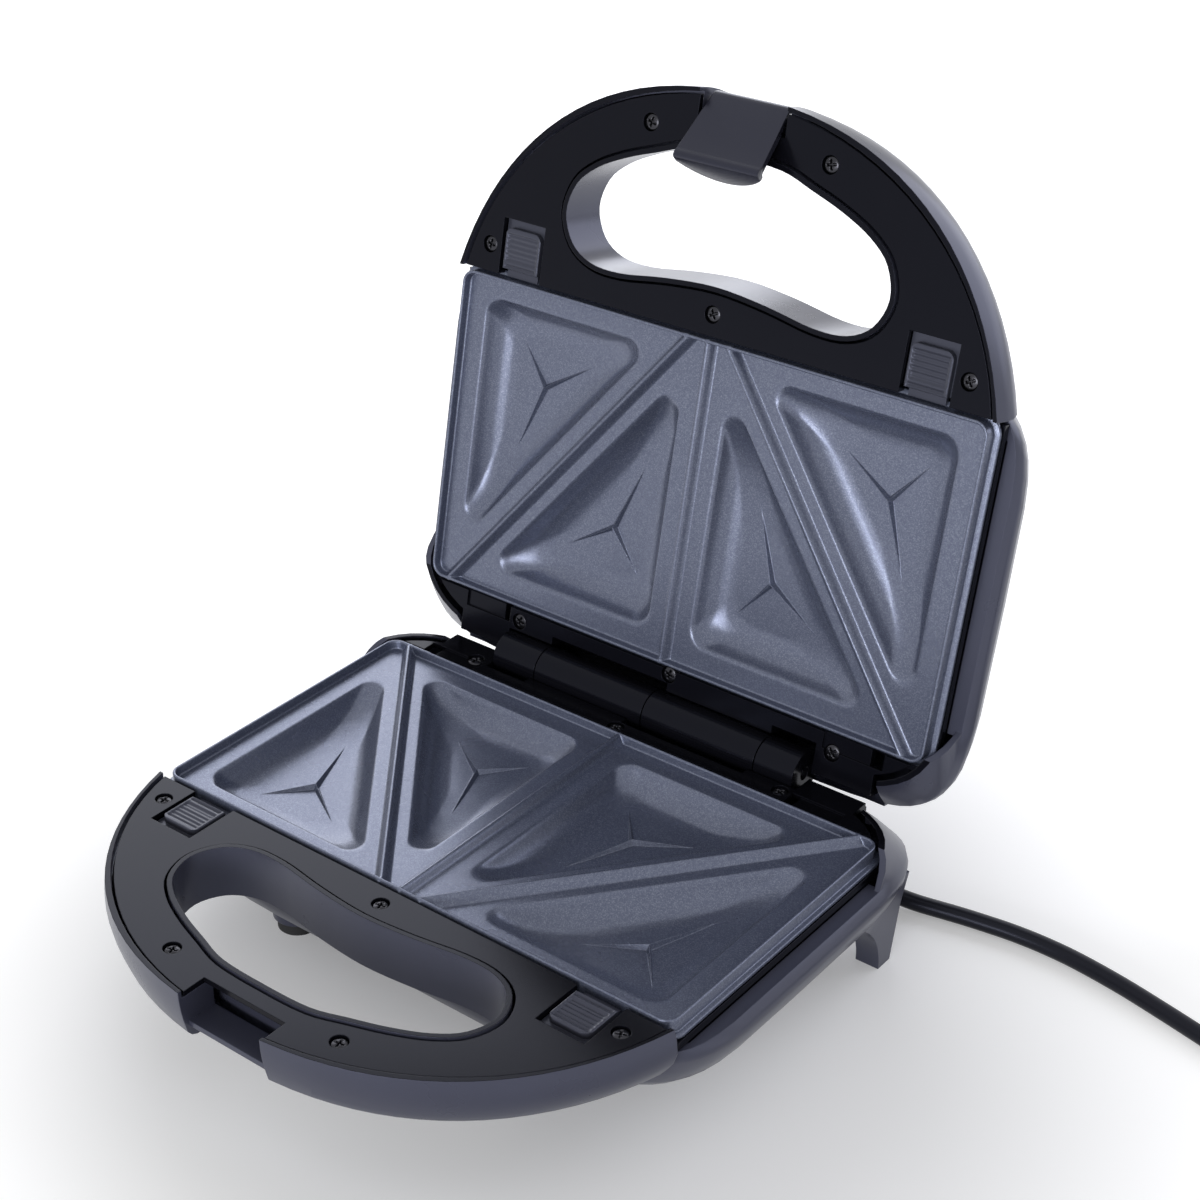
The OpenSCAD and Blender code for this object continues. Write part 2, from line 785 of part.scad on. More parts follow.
module reflector() {
    difference() {
        union() {
            difference() {
                translate([0, 0, land_d + plate_t + 0.3])
                    linear_extrude(height = tray_floor + tray_t - land_d - plate_t - 0.3)
                        rounded_plan(tray_half_w, tray_half_d, 6);
                translate([0, 0, 1])
                    linear_extrude(height = tray_floor - 1)
                        rounded_plan(tray_half_w - tray_t, tray_half_d - tray_t, 5.2);
            }
            for (x = [-45, 40])
                for (side = [-1, 1])
                    translate([x, side * heater_y, 0])
                        box(-4, 4, -5, 5, heater_d + 1, tray_floor + 0.2);
        }
        for (side = [-1, 1])
            along_x(-60, 60, side * heater_y, heater_d, heater_r + 0.1);
        for (s = post_spots)
            translate([s[0], s[1], tray_floor - 2])
                cylinder(r = screw_r + 0.2, h = 5);
        for (side = [-1, 1])
            translate([15 - plate_half_w, side * heater_y, heater_d])
                rotate([0, -90, 0])
                    cylinder(r = 3.4, h = 15);
    }
}

// A cross-head screw whose head's top is at depth zero.
module screw(length) {
    difference() {
        union() {
            cylinder(r = head_r, h = 1.7);
            cylinder(r = screw_r, h = 1.7 + length);
        }
        for (turn = [0, 90])
            rotate([0, 0, turn])
                translate([-1.7, -0.35, -0.1])
                    cube([3.4, 0.7, 1]);
    }
}

module cover_screws() {
    for (s = screw_spots)
        translate([s[0], s[1], head_top + 0.1])
            screw(12);
}

module reflector_screws() {
    for (s = post_spots)
        translate([s[0], s[1], tray_floor - 1.7])
            screw(8);
}

module base_cover() {
    color(cover_color)
        in_base()
            inner_cover(recess_back);
}

module lid_cover() {
    color(cover_color)
        in_lid()
            inner_cover(lid_notch_back);
}

module lower_plate() {
    color(plate_color)
        in_base()
            grill_plate();
}

module upper_plate() {
    color(plate_color)
        in_lid()
            grill_plate();
}

module lower_heater() {
    color(steel_color)
        in_base()
            heater();
}

module upper_heater() {
    color(steel_color)
        in_lid()
            heater();
}

module lower_reflector() {
    color(steel_color)
        in_base()
            reflector();
}

module upper_reflector() {
    color(steel_color)
        in_lid()
            reflector();
}

module base_cover_screws() {
    color(steel_color)
        in_base()
            cover_screws();
}

module lid_cover_screws() {
    color(steel_color)
        in_lid()
            cover_screws();
}

module base_reflector_screws() {
    color(steel_color)
        in_base()
            reflector_screws();
}

module lid_reflector_screws() {
    color(steel_color)
        in_lid()
            reflector_screws();
}

// The base frame is turned over, so its left latch stands on the half frame's right.
module base_latch_left() {
    color(housing_color)
        in_base()
            translate([latch_x, -plate_half_d, 0])
                latch();
}

module base_latch_right() {
    color(housing_color)
        in_base()
            translate([-latch_x, -plate_half_d, 0])
                latch();
}

module lid_latch_left() {
    color(housing_color)
        in_lid()
            translate([-latch_x, -plate_half_d, 0])
                latch();
}

module lid_latch_right() {
    color(housing_color)
        in_lid()
            translate([latch_x, -plate_half_d, 0])
                latch();
}

module front_feet() {
    color(cord_color)
        in_base()
            for (side = [-1, 1])
                translate([side * foot_x, foot_y, 0]) {
                    translate([0, 0, body_depth + 2.5])
                        cylinder(r = 7.5, h = mate_h - body_depth - 2.5);
                    translate([0, 0, body_depth])
                        cylinder(r = 2.95, h = 4);
                }
}

module hinge_pin() {
    color(steel_color)
        translate([0, shift_y, mate_h])
            along_x(-65, 65, hinge_y, 0, pin_r);
}

// A disc thermostat stands on the reflector's back in the lid.
module thermostat() {
    color(steel_color)
        in_lid()
            translate([0, 0, tray_floor + tray_t]) {
                cylinder(r = 8, h = 7);
                translate([-11, -3, 0])
                    cube([22, 6, 1]);
                for (side = [-1, 1])
                    translate([side * 3.5 - 0.4, -3, 6.5])
                        cube([0.8, 6, 5]);
            }
}

module lamp(x) {
    in_lid()
        translate([x, lamp_y, 0]) {
            translate([0, 0, body_depth - 7])
                cylinder(r = 3.15, h = 7);
            translate([0, 0, body_depth - wall_t - 1.2])
                cylinder(r = 4.6, h = 1.1);
        }
}

module power_lamp() {
    color([0.8, 0.1, 0.1])
        lamp(-lamp_x);
}

module ready_lamp() {
    color([0.1, 0.6, 0.2])
        lamp(lamp_x);
}

// The clip hangs from its pin: drawn hanging straight down, then leant on the lid's edge.
module clip() {
    color(housing_color)
        in_lid()
            translate([0, clip_pivot_y, clip_pivot_d])
                rotate([clip_rest, 0, 0])
                    clip_form();
}

module clip_form() {
    difference() {
        union() {
            along_x(-clip_top_half, clip_top_half, 0, 0, 3);
            intersection() {
                translate([clip_w / 2, 0, 0])
                    rotate([90, 0, -90])
                        linear_extrude(height = clip_w)
                            clip_profile();
                rotate([90, 0, 0])
                    linear_extrude(height = 40, center = true)
                        clip_front_view();
            }
            along_x(-clip_w / 2, clip_w / 2, -clip_front + 1.1, hook_z - 0.5, 1.5);
            hook();
        }
        along_x(-clip_w, clip_w, 0, 0, clip_pin_r + 0.06);
    }
}

// Side view of the clip: first value is forward, second is up.
module clip_profile() {
    polygon([
        [0, 3], [2.6, 2.6], [clip_front, 0.6], [clip_front, hook_z - hook_t],
        [clip_front - clip_t, hook_z - hook_t], [clip_front - clip_t, -3], [0, -3]
    ]);
}

// The clip is a little wider at its hook than at its pivot.
module clip_front_view() {
    polygon([
        [-clip_top_half, 4], [clip_top_half, 4], [clip_w / 2, hook_z + 4], [clip_w / 2, -60],
        [-clip_w / 2, -60], [-clip_w / 2, hook_z + 4]
    ]);
}

// The hook is a D-shaped shelf that goes under the base's lip.
module hook() {
    rise = hook_mid - hook_end;
    arc_r = (pow(clip_w / 2, 2) + rise * rise) / (2 * rise);
    translate([0, 0, hook_z - hook_t])
        linear_extrude(height = hook_t)
            intersection() {
                translate([0, hook_mid - clip_front - arc_r])
                    circle(r = arc_r);
                translate([-clip_w / 2, -clip_front])
                    square([clip_w, 2 * hook_mid]);
            }
}

module clip_pin() {
    color(steel_color)
        in_lid()
            along_x(-clip_pin_half, clip_pin_half, clip_pivot_y, clip_pivot_d, clip_pin_r);
}

// The sleeve that keeps the cord from bending sharply where it leaves the base.
module strain_relief() {
    color(cord_color)
        aim(gland_tip - gland_dir * gland_len, gland_dir) {
            cylinder(r1 = gland_r, r2 = gland_tip_r, h = gland_len);
            translate([0, 0, -20])
                cylinder(r = gland_r, h = 20);
        }
}

function path_way(p, i) =
    unit(p[min(i + 1, len(p) - 1)] - p[max(i - 1, 0)]);

module tube(path, r, sides) {
    rings = [for (i = [0 : len(path) - 1])
        let (
            way = path_way(path, i),
            across = unit(cross(way, [0, 0, 1])),
            up = cross(across, way)
        )
        [for (k = [0 : sides - 1])
            path[i] + r * (cos(360 * k / sides) * across + sin(360 * k / sides) * up)]];
    loft_tube(rings);
}

module loft_tube(rings) {
    n = len(rings[0]);
    levels = len(rings);
    polyhedron(
        points = [for (r = rings) for (p = r) p],
        faces = concat(
            [[for (i = [n - 1 : -1 : 0]) i]],
            [[for (i = [0 : n - 1]) (levels - 1) * n + i]],
            [for (k = [0 : levels - 2]) for (i = [0 : n - 1]) for (half = [0, 1])
                let (j = (i + 1) % n, a = k * n, b = a + n)
                half == 0 ? [a + i, b + j, b + i] : [a + i, a + j, b + j]]
        )
    );
}

module cord() {
    color(cord_color)
        tube(cord_route, cord_r, cord_sides);
}

// The coil's radius and height after a count of turns from its outer end.
function coil_radius(u) = coil_r - coil_pitch * (coil_turns / 2 - abs(u - coil_turns / 2));
function coil_height(u) =
    coil_low + coil_pitch * max(0, min(1, (u - coil_turns / 2 + 0.25) / 0.5));
function coil_point(u) =
    let (a = coil_start + 360 * u)
    [coil_mid[0] + coil_radius(u) * cos(a), coil_mid[1] + coil_radius(u) * sin(a), coil_height(u)];
function coil_way(u) =
    let (a = coil_start + 360 * u)
    [-sin(a), cos(a), 0];
function soft_step(t) = t * t * (3 - 2 * t);

coil_count = round(coil_turns * coil_rings);
coil_wound = [for (i = [0 : coil_count]) coil_point(i / coil_rings)];
coil_end = coil_point(coil_turns);
coil_last = coil_way(coil_turns);
coil_path = concat(
    [coil_point(0) - coil_way(0) * cord_dia],
    coil_wound,
    [for (i = [1 : tail_steps])
        let (t = i / tail_steps)
        coil_end + coil_last * coil_tail * t + [0, 0, (plug_h - coil_end[2]) * soft_step(t)]],
    [coil_end + coil_last * (coil_tail + cord_dia) + [0, 0, plug_h - coil_end[2]]]
);
plug_end = coil_path[len(coil_path) - 1];

coil_gap = min([for (i = [0 : coil_count]) for (j = [0 : coil_count])
    if (j - i > coil_rings / 2) norm(coil_wound[i] - coil_wound[j])]) - cord_dia;

function path_length(p, i = 1) = i >= len(p) ? 0 : norm(p[i] - p[i - 1]) + path_length(p, i + 1);

echo(coil_least_gap = coil_gap);
echo(cord_length = path_length(cord_route) + path_length(coil_path));

module cord_coil() {
    color(cord_color)
        tube(coil_path, cord_r, 6);
}

// A soft tie goes round the bundle where its two layers stand one above the other.
module cord_tie() {
    a = coil_start + 270;
    mid_r = coil_radius(0.75);
    half = cord_r + 0.5;
    color(cord_color)
        translate([coil_mid[0] + mid_r * cos(a), coil_mid[1] + mid_r * sin(a), 0])
            rotate([90, 0, a])
                difference() {
                    translate([0, 0, -3.5])
                        linear_extrude(height = 7)
                            tie_outline(half + 0.8, 0.15, coil_low + coil_pitch + half + 0.8);
                    translate([0, 0, -5])
                        linear_extrude(height = 10)
                            tie_outline(half, coil_low - cord_r - 0.35, coil_low + coil_pitch + half);
                }
}

module tie_outline(half, low, high) {
    translate([-half, low + 2])
        square([2 * half, high - low - 4]);
    translate([-half + 2, low])
        square([2 * half - 4, high - low]);
    for (sx = [-1, 1])
        for (y = [low + 2, high - 2])
            translate([sx * (half - 2), y])
                circle(r = 2);
}

// A round two-pin plug with a waist to hold it by and flats for the earth contacts.
module plug() {
    color(cord_color)
        aim(plug_end, coil_last)
            difference() {
                union() {
                    cylinder(r1 = 4.6, r2 = 7.5, h = 10);
                    translate([0, 0, 10])
                        cylinder(r1 = 12, r2 = 14, h = 9);
                    translate([0, 0, 19])
                        cylinder(r = 18.5, h = 15);
                }
                for (side = [-1, 1])
                    translate([-4, side * 17.5 - 2.5, 23])
                        cube([8, 5, 12]);
            }
}

module plug_pins() {
    color(steel_color)
        aim(plug_end, coil_last)
            for (side = [-1, 1])
                translate([0, side * 9.5, 34])
                    cylinder(r = 2.4, h = 19);
}

base_shell();
base_cover();
lower_plate();
lower_heater();
lower_reflector();
base_cover_screws();
base_reflector_screws();
base_latch_left();
base_latch_right();
front_feet();
hinge_pin();
strain_relief();
lid_shell();
lid_cover();
upper_plate();
upper_heater();
upper_reflector();
lid_cover_screws();
lid_reflector_screws();
lid_latch_left();
lid_latch_right();
thermostat();
power_lamp();
ready_lamp();
clip();
clip_pin();
cord();
cord_coil();
cord_tie();
plug();
plug_pins();
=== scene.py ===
"""Dresses the packed sandwich toaster: materials, moulded details, cord, stage and camera."""

import math

import bmesh
import bpy
import numpy as np
from bpy.props import FloatProperty, FloatVectorProperty, IntProperty, PointerProperty
from mathutils import Matrix, Vector


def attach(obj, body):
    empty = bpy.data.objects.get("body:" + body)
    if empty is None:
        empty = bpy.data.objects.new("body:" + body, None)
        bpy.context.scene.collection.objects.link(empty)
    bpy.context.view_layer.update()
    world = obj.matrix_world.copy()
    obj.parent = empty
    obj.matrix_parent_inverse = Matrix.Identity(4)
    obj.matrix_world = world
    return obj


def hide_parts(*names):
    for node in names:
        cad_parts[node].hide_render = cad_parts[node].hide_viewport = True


bl_info = {
    "name": "Sandwich Toaster",
    "version": (1, 0, 0),
    "blender": (4, 5, 0),
    "location": "View3D > Sidebar > Toaster",
    "description": "Builds the looks of a two-plate sandwich toaster round its packed frame",
    "category": "Object",
}

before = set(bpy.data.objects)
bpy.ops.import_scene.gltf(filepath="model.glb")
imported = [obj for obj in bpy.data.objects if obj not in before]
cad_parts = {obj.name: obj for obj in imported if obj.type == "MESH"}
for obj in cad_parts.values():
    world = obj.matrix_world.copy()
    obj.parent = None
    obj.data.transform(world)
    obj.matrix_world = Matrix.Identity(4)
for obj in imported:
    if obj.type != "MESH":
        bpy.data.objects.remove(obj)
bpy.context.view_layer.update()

MM = 0.001

# The camera looks back at the middle of the meeting plane from these angles, in degrees.
CAMERA_AZIMUTH = 39.27
CAMERA_ELEVATION = 31.24
CAMERA_ROLL = -0.25

# Its distance and its shifts to the left and up, in millimetres.
CAMERA_AWAY = 787.391
CAMERA_LEFT = 2.883
CAMERA_UP = 46.605

# Its focal length and optical middle, in pixels of a square picture.
PICTURE_SIZE = 1200
FOCAL_PIXELS = 2270.973
OPTICAL_MIDDLE = (506.8, 671.7)
SENSOR_WIDTH = 36.0

# The floor's own light grows with the distance from the middle of a painted shadow pool, in metres, so the
# floor is painted darker round the object, most on its shadow side. Only rays that show the background see
# it.
FLOOR_HALF = 6.0
PAINTED_SHADOW_MIDDLE = (0.05, -0.02, 0.0)
FLOOR_NEAR = 0.09
FLOOR_FAR = 0.29
GLOW_NEAR = 0.19
GLOW_FAR = 0.67

# What the lamps point at, in metres.
LAMP_AIM = (0, 0.02, 0.08)

# Places of the two halves. Each is drawn in one half frame, in millimetres: x across, y back,
# z the depth away from the plane where the plates meet.
MATE_HEIGHT = 47.0
SHIFT_Y = 2.0
HINGE_Y = 80.0
OPEN_ANGLE = 100.6

BASE_PLACE = (
    Matrix.Scale(MM, 4)
    @ Matrix.Translation((0, SHIFT_Y, MATE_HEIGHT))
    @ Matrix.Rotation(math.pi, 4, "Y")
)
LID_PLACE = (
    Matrix.Scale(MM, 4)
    @ Matrix.Translation((0, SHIFT_Y + HINGE_Y, MATE_HEIGHT))
    @ Matrix.Rotation(math.radians(-OPEN_ANGLE), 4, "X")
    @ Matrix.Translation((0, -HINGE_Y, 0))
)
HALVES = {"base": BASE_PLACE, "lid": LID_PLACE}

# Screw places on the inner covers, in the half frame.
SCREW_SPOTS = [
    (99.5, -72.2), (-99.5, -72.2), (36.1, -128.8), (-36.1, -128.8),
    (0.0, -69.9), (-65.4, 66.9), (4.5, 64.4), (75.4, 69.2),
]
SCREW_TOP = 1.4
SCREW_RADIUS = 3.0

# Faces of a housing that lie less deep than this belong to its rims, which get the black cover material as
# painted shade.
RIM_DEPTH = 1.0

# The hinge's part of a housing in the half frame: half width, near side, far side and depth.
HINGE_ZONE = (75.0, 62.0, 86.6, 12.5)

# Plate sizes in the half frame.
PLATE_HALF_W = 110.0
PLATE_HALF_D = 61.0
RIM_THICK = 1.4
RIM_CORNER = 3.8
PLATE_WALL = 1.8
POCKET_CORNERS = ((-99.6, -52.3), (-24.3, -52.3), (-99.6, 44.2))
POCKET_RADII = (7.0, 5.0, 5.0)
POCKET_TURN_MID = (-54.6, -0.7)
POCKET_INSETS = (0.0, 1.2, 3.0, 5.5, 8.5, 12.0)
POCKET_SHARES = (0.0, 0.29, 0.6, 0.83, 0.955, 1.0)
CREASE_MID = (-74.2, -22.5)
CREASE_TIPS = ((-87.1, -38.3), (-54.4, -35.1), (-85.5, 7.6))
RIDGES = (
    ((0.0, -58.7), (0.0, 58.7)), ((9.5, -58.7), (100.5, 58.7)), ((-9.5, -58.7), (-100.5, 58.7)),
)

# Latches in the half frame.
LATCH_X = 84.75
PAD_HALF_W = 8.0
PAD_HALF_L = 7.6
PAD_NEAR = 3.8
PAD_CORNER = 3.0
PAD_FRAME = 1.2
PAD_TOP = 0.9
PAD_RIB_STEP = 1.9

# The clip, in millimetres from its pivot in the lid's half frame.
CLIP_PIVOT = (-139.5, 8.0)
CLIP_REST = 49.9
CLIP_HALF_W = 17.0
CLIP_TOP_HALF = 15.0
CLIP_HOOK_MID = -6.5
CLIP_HOOK_R = 23.9

# The cord, in millimetres in the shared frame: the same route as its solid.
GLAND_TIP = (88.0, 87.0, 8.2)
GLAND_WAY = (0.911, 0.396, -0.115)
GLAND_LENGTH = 22.0
CORD_STEPS = [
    (0, 0, 8.2), (6, 2.1, 6.8), (12, 3.9, 5.2), (18, 5.6, 4), (24, 7.1, 3.4),
    (32, 8.9, 3.3), (39, 10.3, 3.3), (47, 11.6, 3.3), (55, 12.7, 3.3), (63, 13.3, 3.3),
    (70, 13.4, 3.3), (78, 13.1, 3.3), (87, 12.1, 3.3), (96, 10.7, 3.3), (104, 9.2, 3.3),
    (112, 7.4, 3.3), (121, 5.3, 3.3), (130, 3.1, 3.3), (139, 0.9, 3.3), (148, -1.2, 3.3),
    (157, -3.1, 3.6), (166, -4.6, 4.1), (174.5, -5.6, 4.4),
]
CORD_ROUTE = [(GLAND_TIP[0] + x, GLAND_TIP[1] + y, z) for x, y, z in CORD_STEPS]
COIL_MID = (GLAND_TIP[0] + 184.0, GLAND_TIP[1] + 31.8)
COIL_RADIUS = 38.0
COIL_TURNS = 2.5
COIL_PITCH = 6.7
COIL_LOW = 4.4
COIL_START = 265.0
COIL_RINGS = 48
COIL_TAIL = 26.0
COIL_TAIL_STEPS = 8
# The tail's straight end, up to the plug, and the height at which it meets the plug.
PLUG_REACH = 6.2
PLUG_HEIGHT = 18.8

# The sleeve on the cord where it leaves the base, with its thickness at both ends.
SLEEVE_RIBS = 6
SLEEVE_RADIUS = 4.7
SLEEVE_TAPER = 0.8


# Sizes and colours that a user may change.
def color_setting(label, text, value):
    return FloatVectorProperty(
        name=label, description=text, subtype="COLOR", size=4, min=0, max=1, default=(*value, 1),
    )


def share_setting(label, text, value):
    return FloatProperty(
        name=label, description=text, subtype="FACTOR", min=0, max=1, default=value,
    )


def length_setting(label, text, value, least=0.0):
    return FloatProperty(name=label, description=text, unit="LENGTH", min=least, default=value)


def power_setting(label, text, value):
    return FloatProperty(name=label, description=text, unit="POWER", min=0, default=value)


class HousingSettings(bpy.types.PropertyGroup):
    shell_color: color_setting(
        "Shell colour", "Colour of the two outer mouldings", (0.044, 0.046, 0.068),
    )
    shell_roughness: share_setting("Shell roughness", "How matt the outer mouldings are", 0.28)
    cover_color: color_setting(
        "Cover colour", "Colour of the two inner covers", (0.004, 0.004, 0.006),
    )
    cover_roughness: share_setting("Cover roughness", "How matt the inner covers are", 0.17)
    edge_radius: length_setting("Edge radius", "Rounding of the moulded edges", 0.0004)


class PlateSettings(bpy.types.PropertyGroup):
    coating_color: color_setting(
        "Coating colour", "Colour of the non-stick coating", (0.108, 0.122, 0.182),
    )
    fleck_color: color_setting(
        "Fleck colour", "Colour of the bright flecks in the coating", (0.30, 0.33, 0.40),
    )
    coating_roughness: share_setting("Coating roughness", "How matt the coating is", 0.27)
    land_depth: length_setting("Land depth", "Depth of the flat land inside the rim", 3.5 * MM)
    pocket_floor: length_setting("Pocket floor", "Depth of the pocket floors", 12.1 * MM)
    crease_height: length_setting("Crease height", "Height of the three-way creases", 2.0 * MM)
    grid_step: length_setting(
        "Grid step", "Size of the faces on the plate's front", 0.6 * MM, least=0.3 * MM,
    )


class CordSettings(bpy.types.PropertyGroup):
    cord_color: color_setting(
        "Cord colour", "Colour of the cord, its sleeve and its plug", (0.007, 0.007, 0.009),
    )
    diameter: length_setting("Cord diameter", "Thickness of the mains cord", 6.2 * MM)


class StageSettings(bpy.types.PropertyGroup):
    floor_color: color_setting(
        "Floor colour", "Colour of the floor that takes the shadow", (0.82, 0.82, 0.82),
    )
    world_strength: FloatProperty(
        name="World strength", description="Level of the light from all round",
        min=0, default=0.42,
    )
    key_power: power_setting("Key power", "Power of the large lamp behind and to the left", 12.5)
    rear_power: power_setting("Rear power", "Power of the large lamp behind and to the right", 9.5)
    front_power: power_setting("Front power", "Power of the low lamp in front", 19.5)


class ScrewSettings(bpy.types.PropertyGroup):
    turn_seed: IntProperty(
        name="Turn seed", description="Seed for how far each screw is turned", default=3,
    )


SETTINGS = {
    "toaster_housing": HousingSettings,
    "toaster_plates": PlateSettings,
    "toaster_cord": CordSettings,
    "toaster_stage": StageSettings,
    "toaster_screws": ScrewSettings,
}


# Shader helpers.
def add_node(tree, kind, **values):
    node = tree.nodes.new(kind)
    for key, value in values.items():
        if hasattr(node, key):
            setattr(node, key, value)
        else:
            node.inputs[key.replace("_", " ").title()].default_value = value
    return node


def join(tree, source, target):
    tree.links.new(source, target)


def group_with(name, inputs, outputs):
    tree = bpy.data.node_groups.new(name, "ShaderNodeTree")
    for label, kind, value in inputs:
        socket = tree.interface.new_socket(name=label, in_out="INPUT", socket_type=kind)
        socket.default_value = value
    for label, kind in outputs:
        tree.interface.new_socket(name=label, in_out="OUTPUT", socket_type=kind)
    entry = tree.nodes.new("NodeGroupInput")
    leave = tree.nodes.new("NodeGroupOutput")
    return tree, entry, leave


def moulded_surface():
    """Rounded edges, fine grain and uneven gloss for any moulded or cast piece."""
    name = "moulded_surface"
    if name in bpy.data.node_groups:
        return bpy.data.node_groups[name]
    tree, entry, leave = group_with(
        name,
        [
            ("Roughness", "NodeSocketFloat", 0.3), ("Spread", "NodeSocketFloat", 0.05),
            ("Grain Scale", "NodeSocketFloat", 900.0), ("Grain Depth", "NodeSocketFloat", 0.00002),
            ("Edge Radius", "NodeSocketFloat", 0.0004),
        ],
        [("Roughness", "NodeSocketFloat"), ("Normal", "NodeSocketVector"), ("Patches", "NodeSocketFloat")],
    )
    place = add_node(tree, "ShaderNodeTexCoord")
    patches = add_node(tree, "ShaderNodeTexNoise", Scale=28.0, Detail=4.0, Roughness=0.6)
    join(tree, place.outputs["Object"], patches.inputs["Vector"])
    spread = add_node(tree, "ShaderNodeMath", operation="MULTIPLY_ADD")
    centred = add_node(tree, "ShaderNodeMath", operation="SUBTRACT")
    centred.inputs[1].default_value = 0.5
    join(tree, patches.outputs[0], centred.inputs[0])
    join(tree, centred.outputs[0], spread.inputs[0])
    join(tree, entry.outputs["Spread"], spread.inputs[1])
    join(tree, entry.outputs["Roughness"], spread.inputs[2])
    grain = add_node(tree, "ShaderNodeTexNoise", Detail=2.0)
    join(tree, place.outputs["Object"], grain.inputs["Vector"])
    join(tree, entry.outputs["Grain Scale"], grain.inputs["Scale"])
    edges = tree.nodes.new("ShaderNodeBevel")
    edges.samples = 4
    join(tree, entry.outputs["Edge Radius"], edges.inputs["Radius"])
    bump = add_node(tree, "ShaderNodeBump", Strength=1.0)
    join(tree, entry.outputs["Grain Depth"], bump.inputs["Distance"])
    join(tree, grain.outputs[0], bump.inputs["Height"])
    join(tree, edges.outputs[0], bump.inputs["Normal"])
    join(tree, spread.outputs[0], leave.inputs["Roughness"])
    join(tree, bump.outputs[0], leave.inputs["Normal"])
    join(tree, patches.outputs[0], leave.inputs["Patches"])
    return tree


def coating_flecks():
    """Bright flecks scattered through a coating."""
    name = "coating_flecks"
    if name in bpy.data.node_groups:
        return bpy.data.node_groups[name]
    tree, entry, leave = group_with(
        name,
        [("Scale", "NodeSocketFloat", 1900.0), ("Amount", "NodeSocketFloat", 0.5)],
        [("Flecks", "NodeSocketFloat")],
    )
    place = add_node(tree, "ShaderNodeTexCoord")
    cells = tree.nodes.new("ShaderNodeTexVoronoi")
    join(tree, place.outputs["Object"], cells.inputs["Vector"])
    join(tree, entry.outputs["Scale"], cells.inputs["Scale"])
    tone = add_node(tree, "ShaderNodeSeparateColor")
    join(tree, cells.outputs["Color"], tone.inputs[0])
    power = add_node(tree, "ShaderNodeMath", operation="POWER")
    power.inputs[1].default_value = 2.5
    join(tree, tone.outputs[0], power.inputs[0])
    scaled = add_node(tree, "ShaderNodeMath", operation="MULTIPLY", use_clamp=True)
    join(tree, power.outputs[0], scaled.inputs[0])
    join(tree, entry.outputs["Amount"], scaled.inputs[1])
    join(tree, scaled.outputs[0], leave.inputs["Flecks"])
    return tree


def blank_material(name, color):
    material = bpy.data.materials.new(name)
    material.use_nodes = True
    material.diffuse_color = tuple(color[:3]) + (1,)
    tree = material.node_tree
    return material, tree, tree.nodes["Principled BSDF"]


def surface_node(tree, shader, values):
    """The shared surface group with its values, joined to a shader's roughness and normal."""
    surface = tree.nodes.new("ShaderNodeGroup")
    surface.node_tree = moulded_surface()
    for label, value in values.items():
        surface.inputs[label].default_value = value
    join(tree, surface.outputs["Roughness"], shader.inputs["Roughness"])
    join(tree, surface.outputs["Normal"], shader.inputs["Normal"])
    return surface


def blend_colors(tree, shader, first, second, share):
    """Mixes two base colours by a share."""
    blend = add_node(tree, "ShaderNodeMix", data_type="RGBA")
    blend.inputs[6].default_value = first
    blend.inputs[7].default_value = second
    join(tree, share, blend.inputs[0])
    join(tree, blend.outputs[2], shader.inputs["Base Color"])


def surface_material(name, color, roughness, spread=0.05, grain_scale=900.0, grain_depth=0.00002,
                     edge=0.0004, metallic=0.0, ior=1.5, tint=0.12, gloss=0.5,
                     gloss_tint=(1.0, 1.0, 1.0)):
    """A moulded, cast or drawn surface with rounded edges, fine grain and uneven gloss."""
    if name in bpy.data.materials:
        return bpy.data.materials[name]
    material, tree, shader = blank_material(name, color)
    surface = surface_node(tree, shader, {
        "Roughness": roughness, "Spread": spread, "Grain Scale": grain_scale,
        "Grain Depth": grain_depth, "Edge Radius": edge,
    })
    dark = [c * (1 - tint) for c in color[:3]] + [1]
    light = [min(1, c * (1 + tint)) for c in color[:3]] + [1]
    blend_colors(tree, shader, dark, light, surface.outputs["Patches"])
    shader.inputs["Metallic"].default_value = metallic
    shader.inputs["IOR"].default_value = ior
    shader.inputs["Specular IOR Level"].default_value = gloss
    shader.inputs["Specular Tint"].default_value = tuple(gloss_tint) + (1,)
    return material


# The dark plastics' reflections are tinted a cool grey-blue: a painted reflection colour that stands for a
# bluish studio light.
PAINTED_REFLECTION_TINT = (0.72, 0.76, 1.0)


def shell_material():
    look = bpy.context.scene.toaster_housing
    return surface_material(
        "shell_plastic", look.shell_color, look.shell_roughness, spread=0.06,
        grain_scale=1400.0, grain_depth=0.000003, edge=look.edge_radius, ior=1.56,
        gloss_tint=PAINTED_REFLECTION_TINT,
    )


def cover_material():
    look = bpy.context.scene.toaster_housing
    return surface_material(
        "cover_plastic", look.cover_color, look.cover_roughness, spread=0.04,
        grain_scale=1400.0, grain_depth=0.000004, edge=look.edge_radius, ior=1.5, gloss=0.14,
        gloss_tint=PAINTED_REFLECTION_TINT,
    )


def cord_material():
    look = bpy.context.scene.toaster_cord
    return surface_material(
        "cord_sheath", look.cord_color, 0.30, spread=0.08, grain_scale=1600.0,
        grain_depth=0.00002, edge=0.0003, ior=1.5, gloss=0.22, gloss_tint=PAINTED_REFLECTION_TINT,
    )


def steel_material():
    return surface_material(
        "drawn_steel", (0.50, 0.49, 0.47), 0.32, spread=0.12, grain_scale=700.0,
        grain_depth=0.00002, edge=0.0002, metallic=1.0,
    )


def tray_material():
    return surface_material(
        "bright_sheet", (0.72, 0.72, 0.73), 0.28, spread=0.14, grain_scale=500.0,
        grain_depth=0.00003, edge=0.0002, metallic=1.0,
    )


def screw_material():
    return surface_material(
        "blackened_screw", (0.038, 0.038, 0.044), 0.22, spread=0.1, grain_scale=1500.0,
        grain_depth=0.00001, edge=0.00015, metallic=0.9,
    )


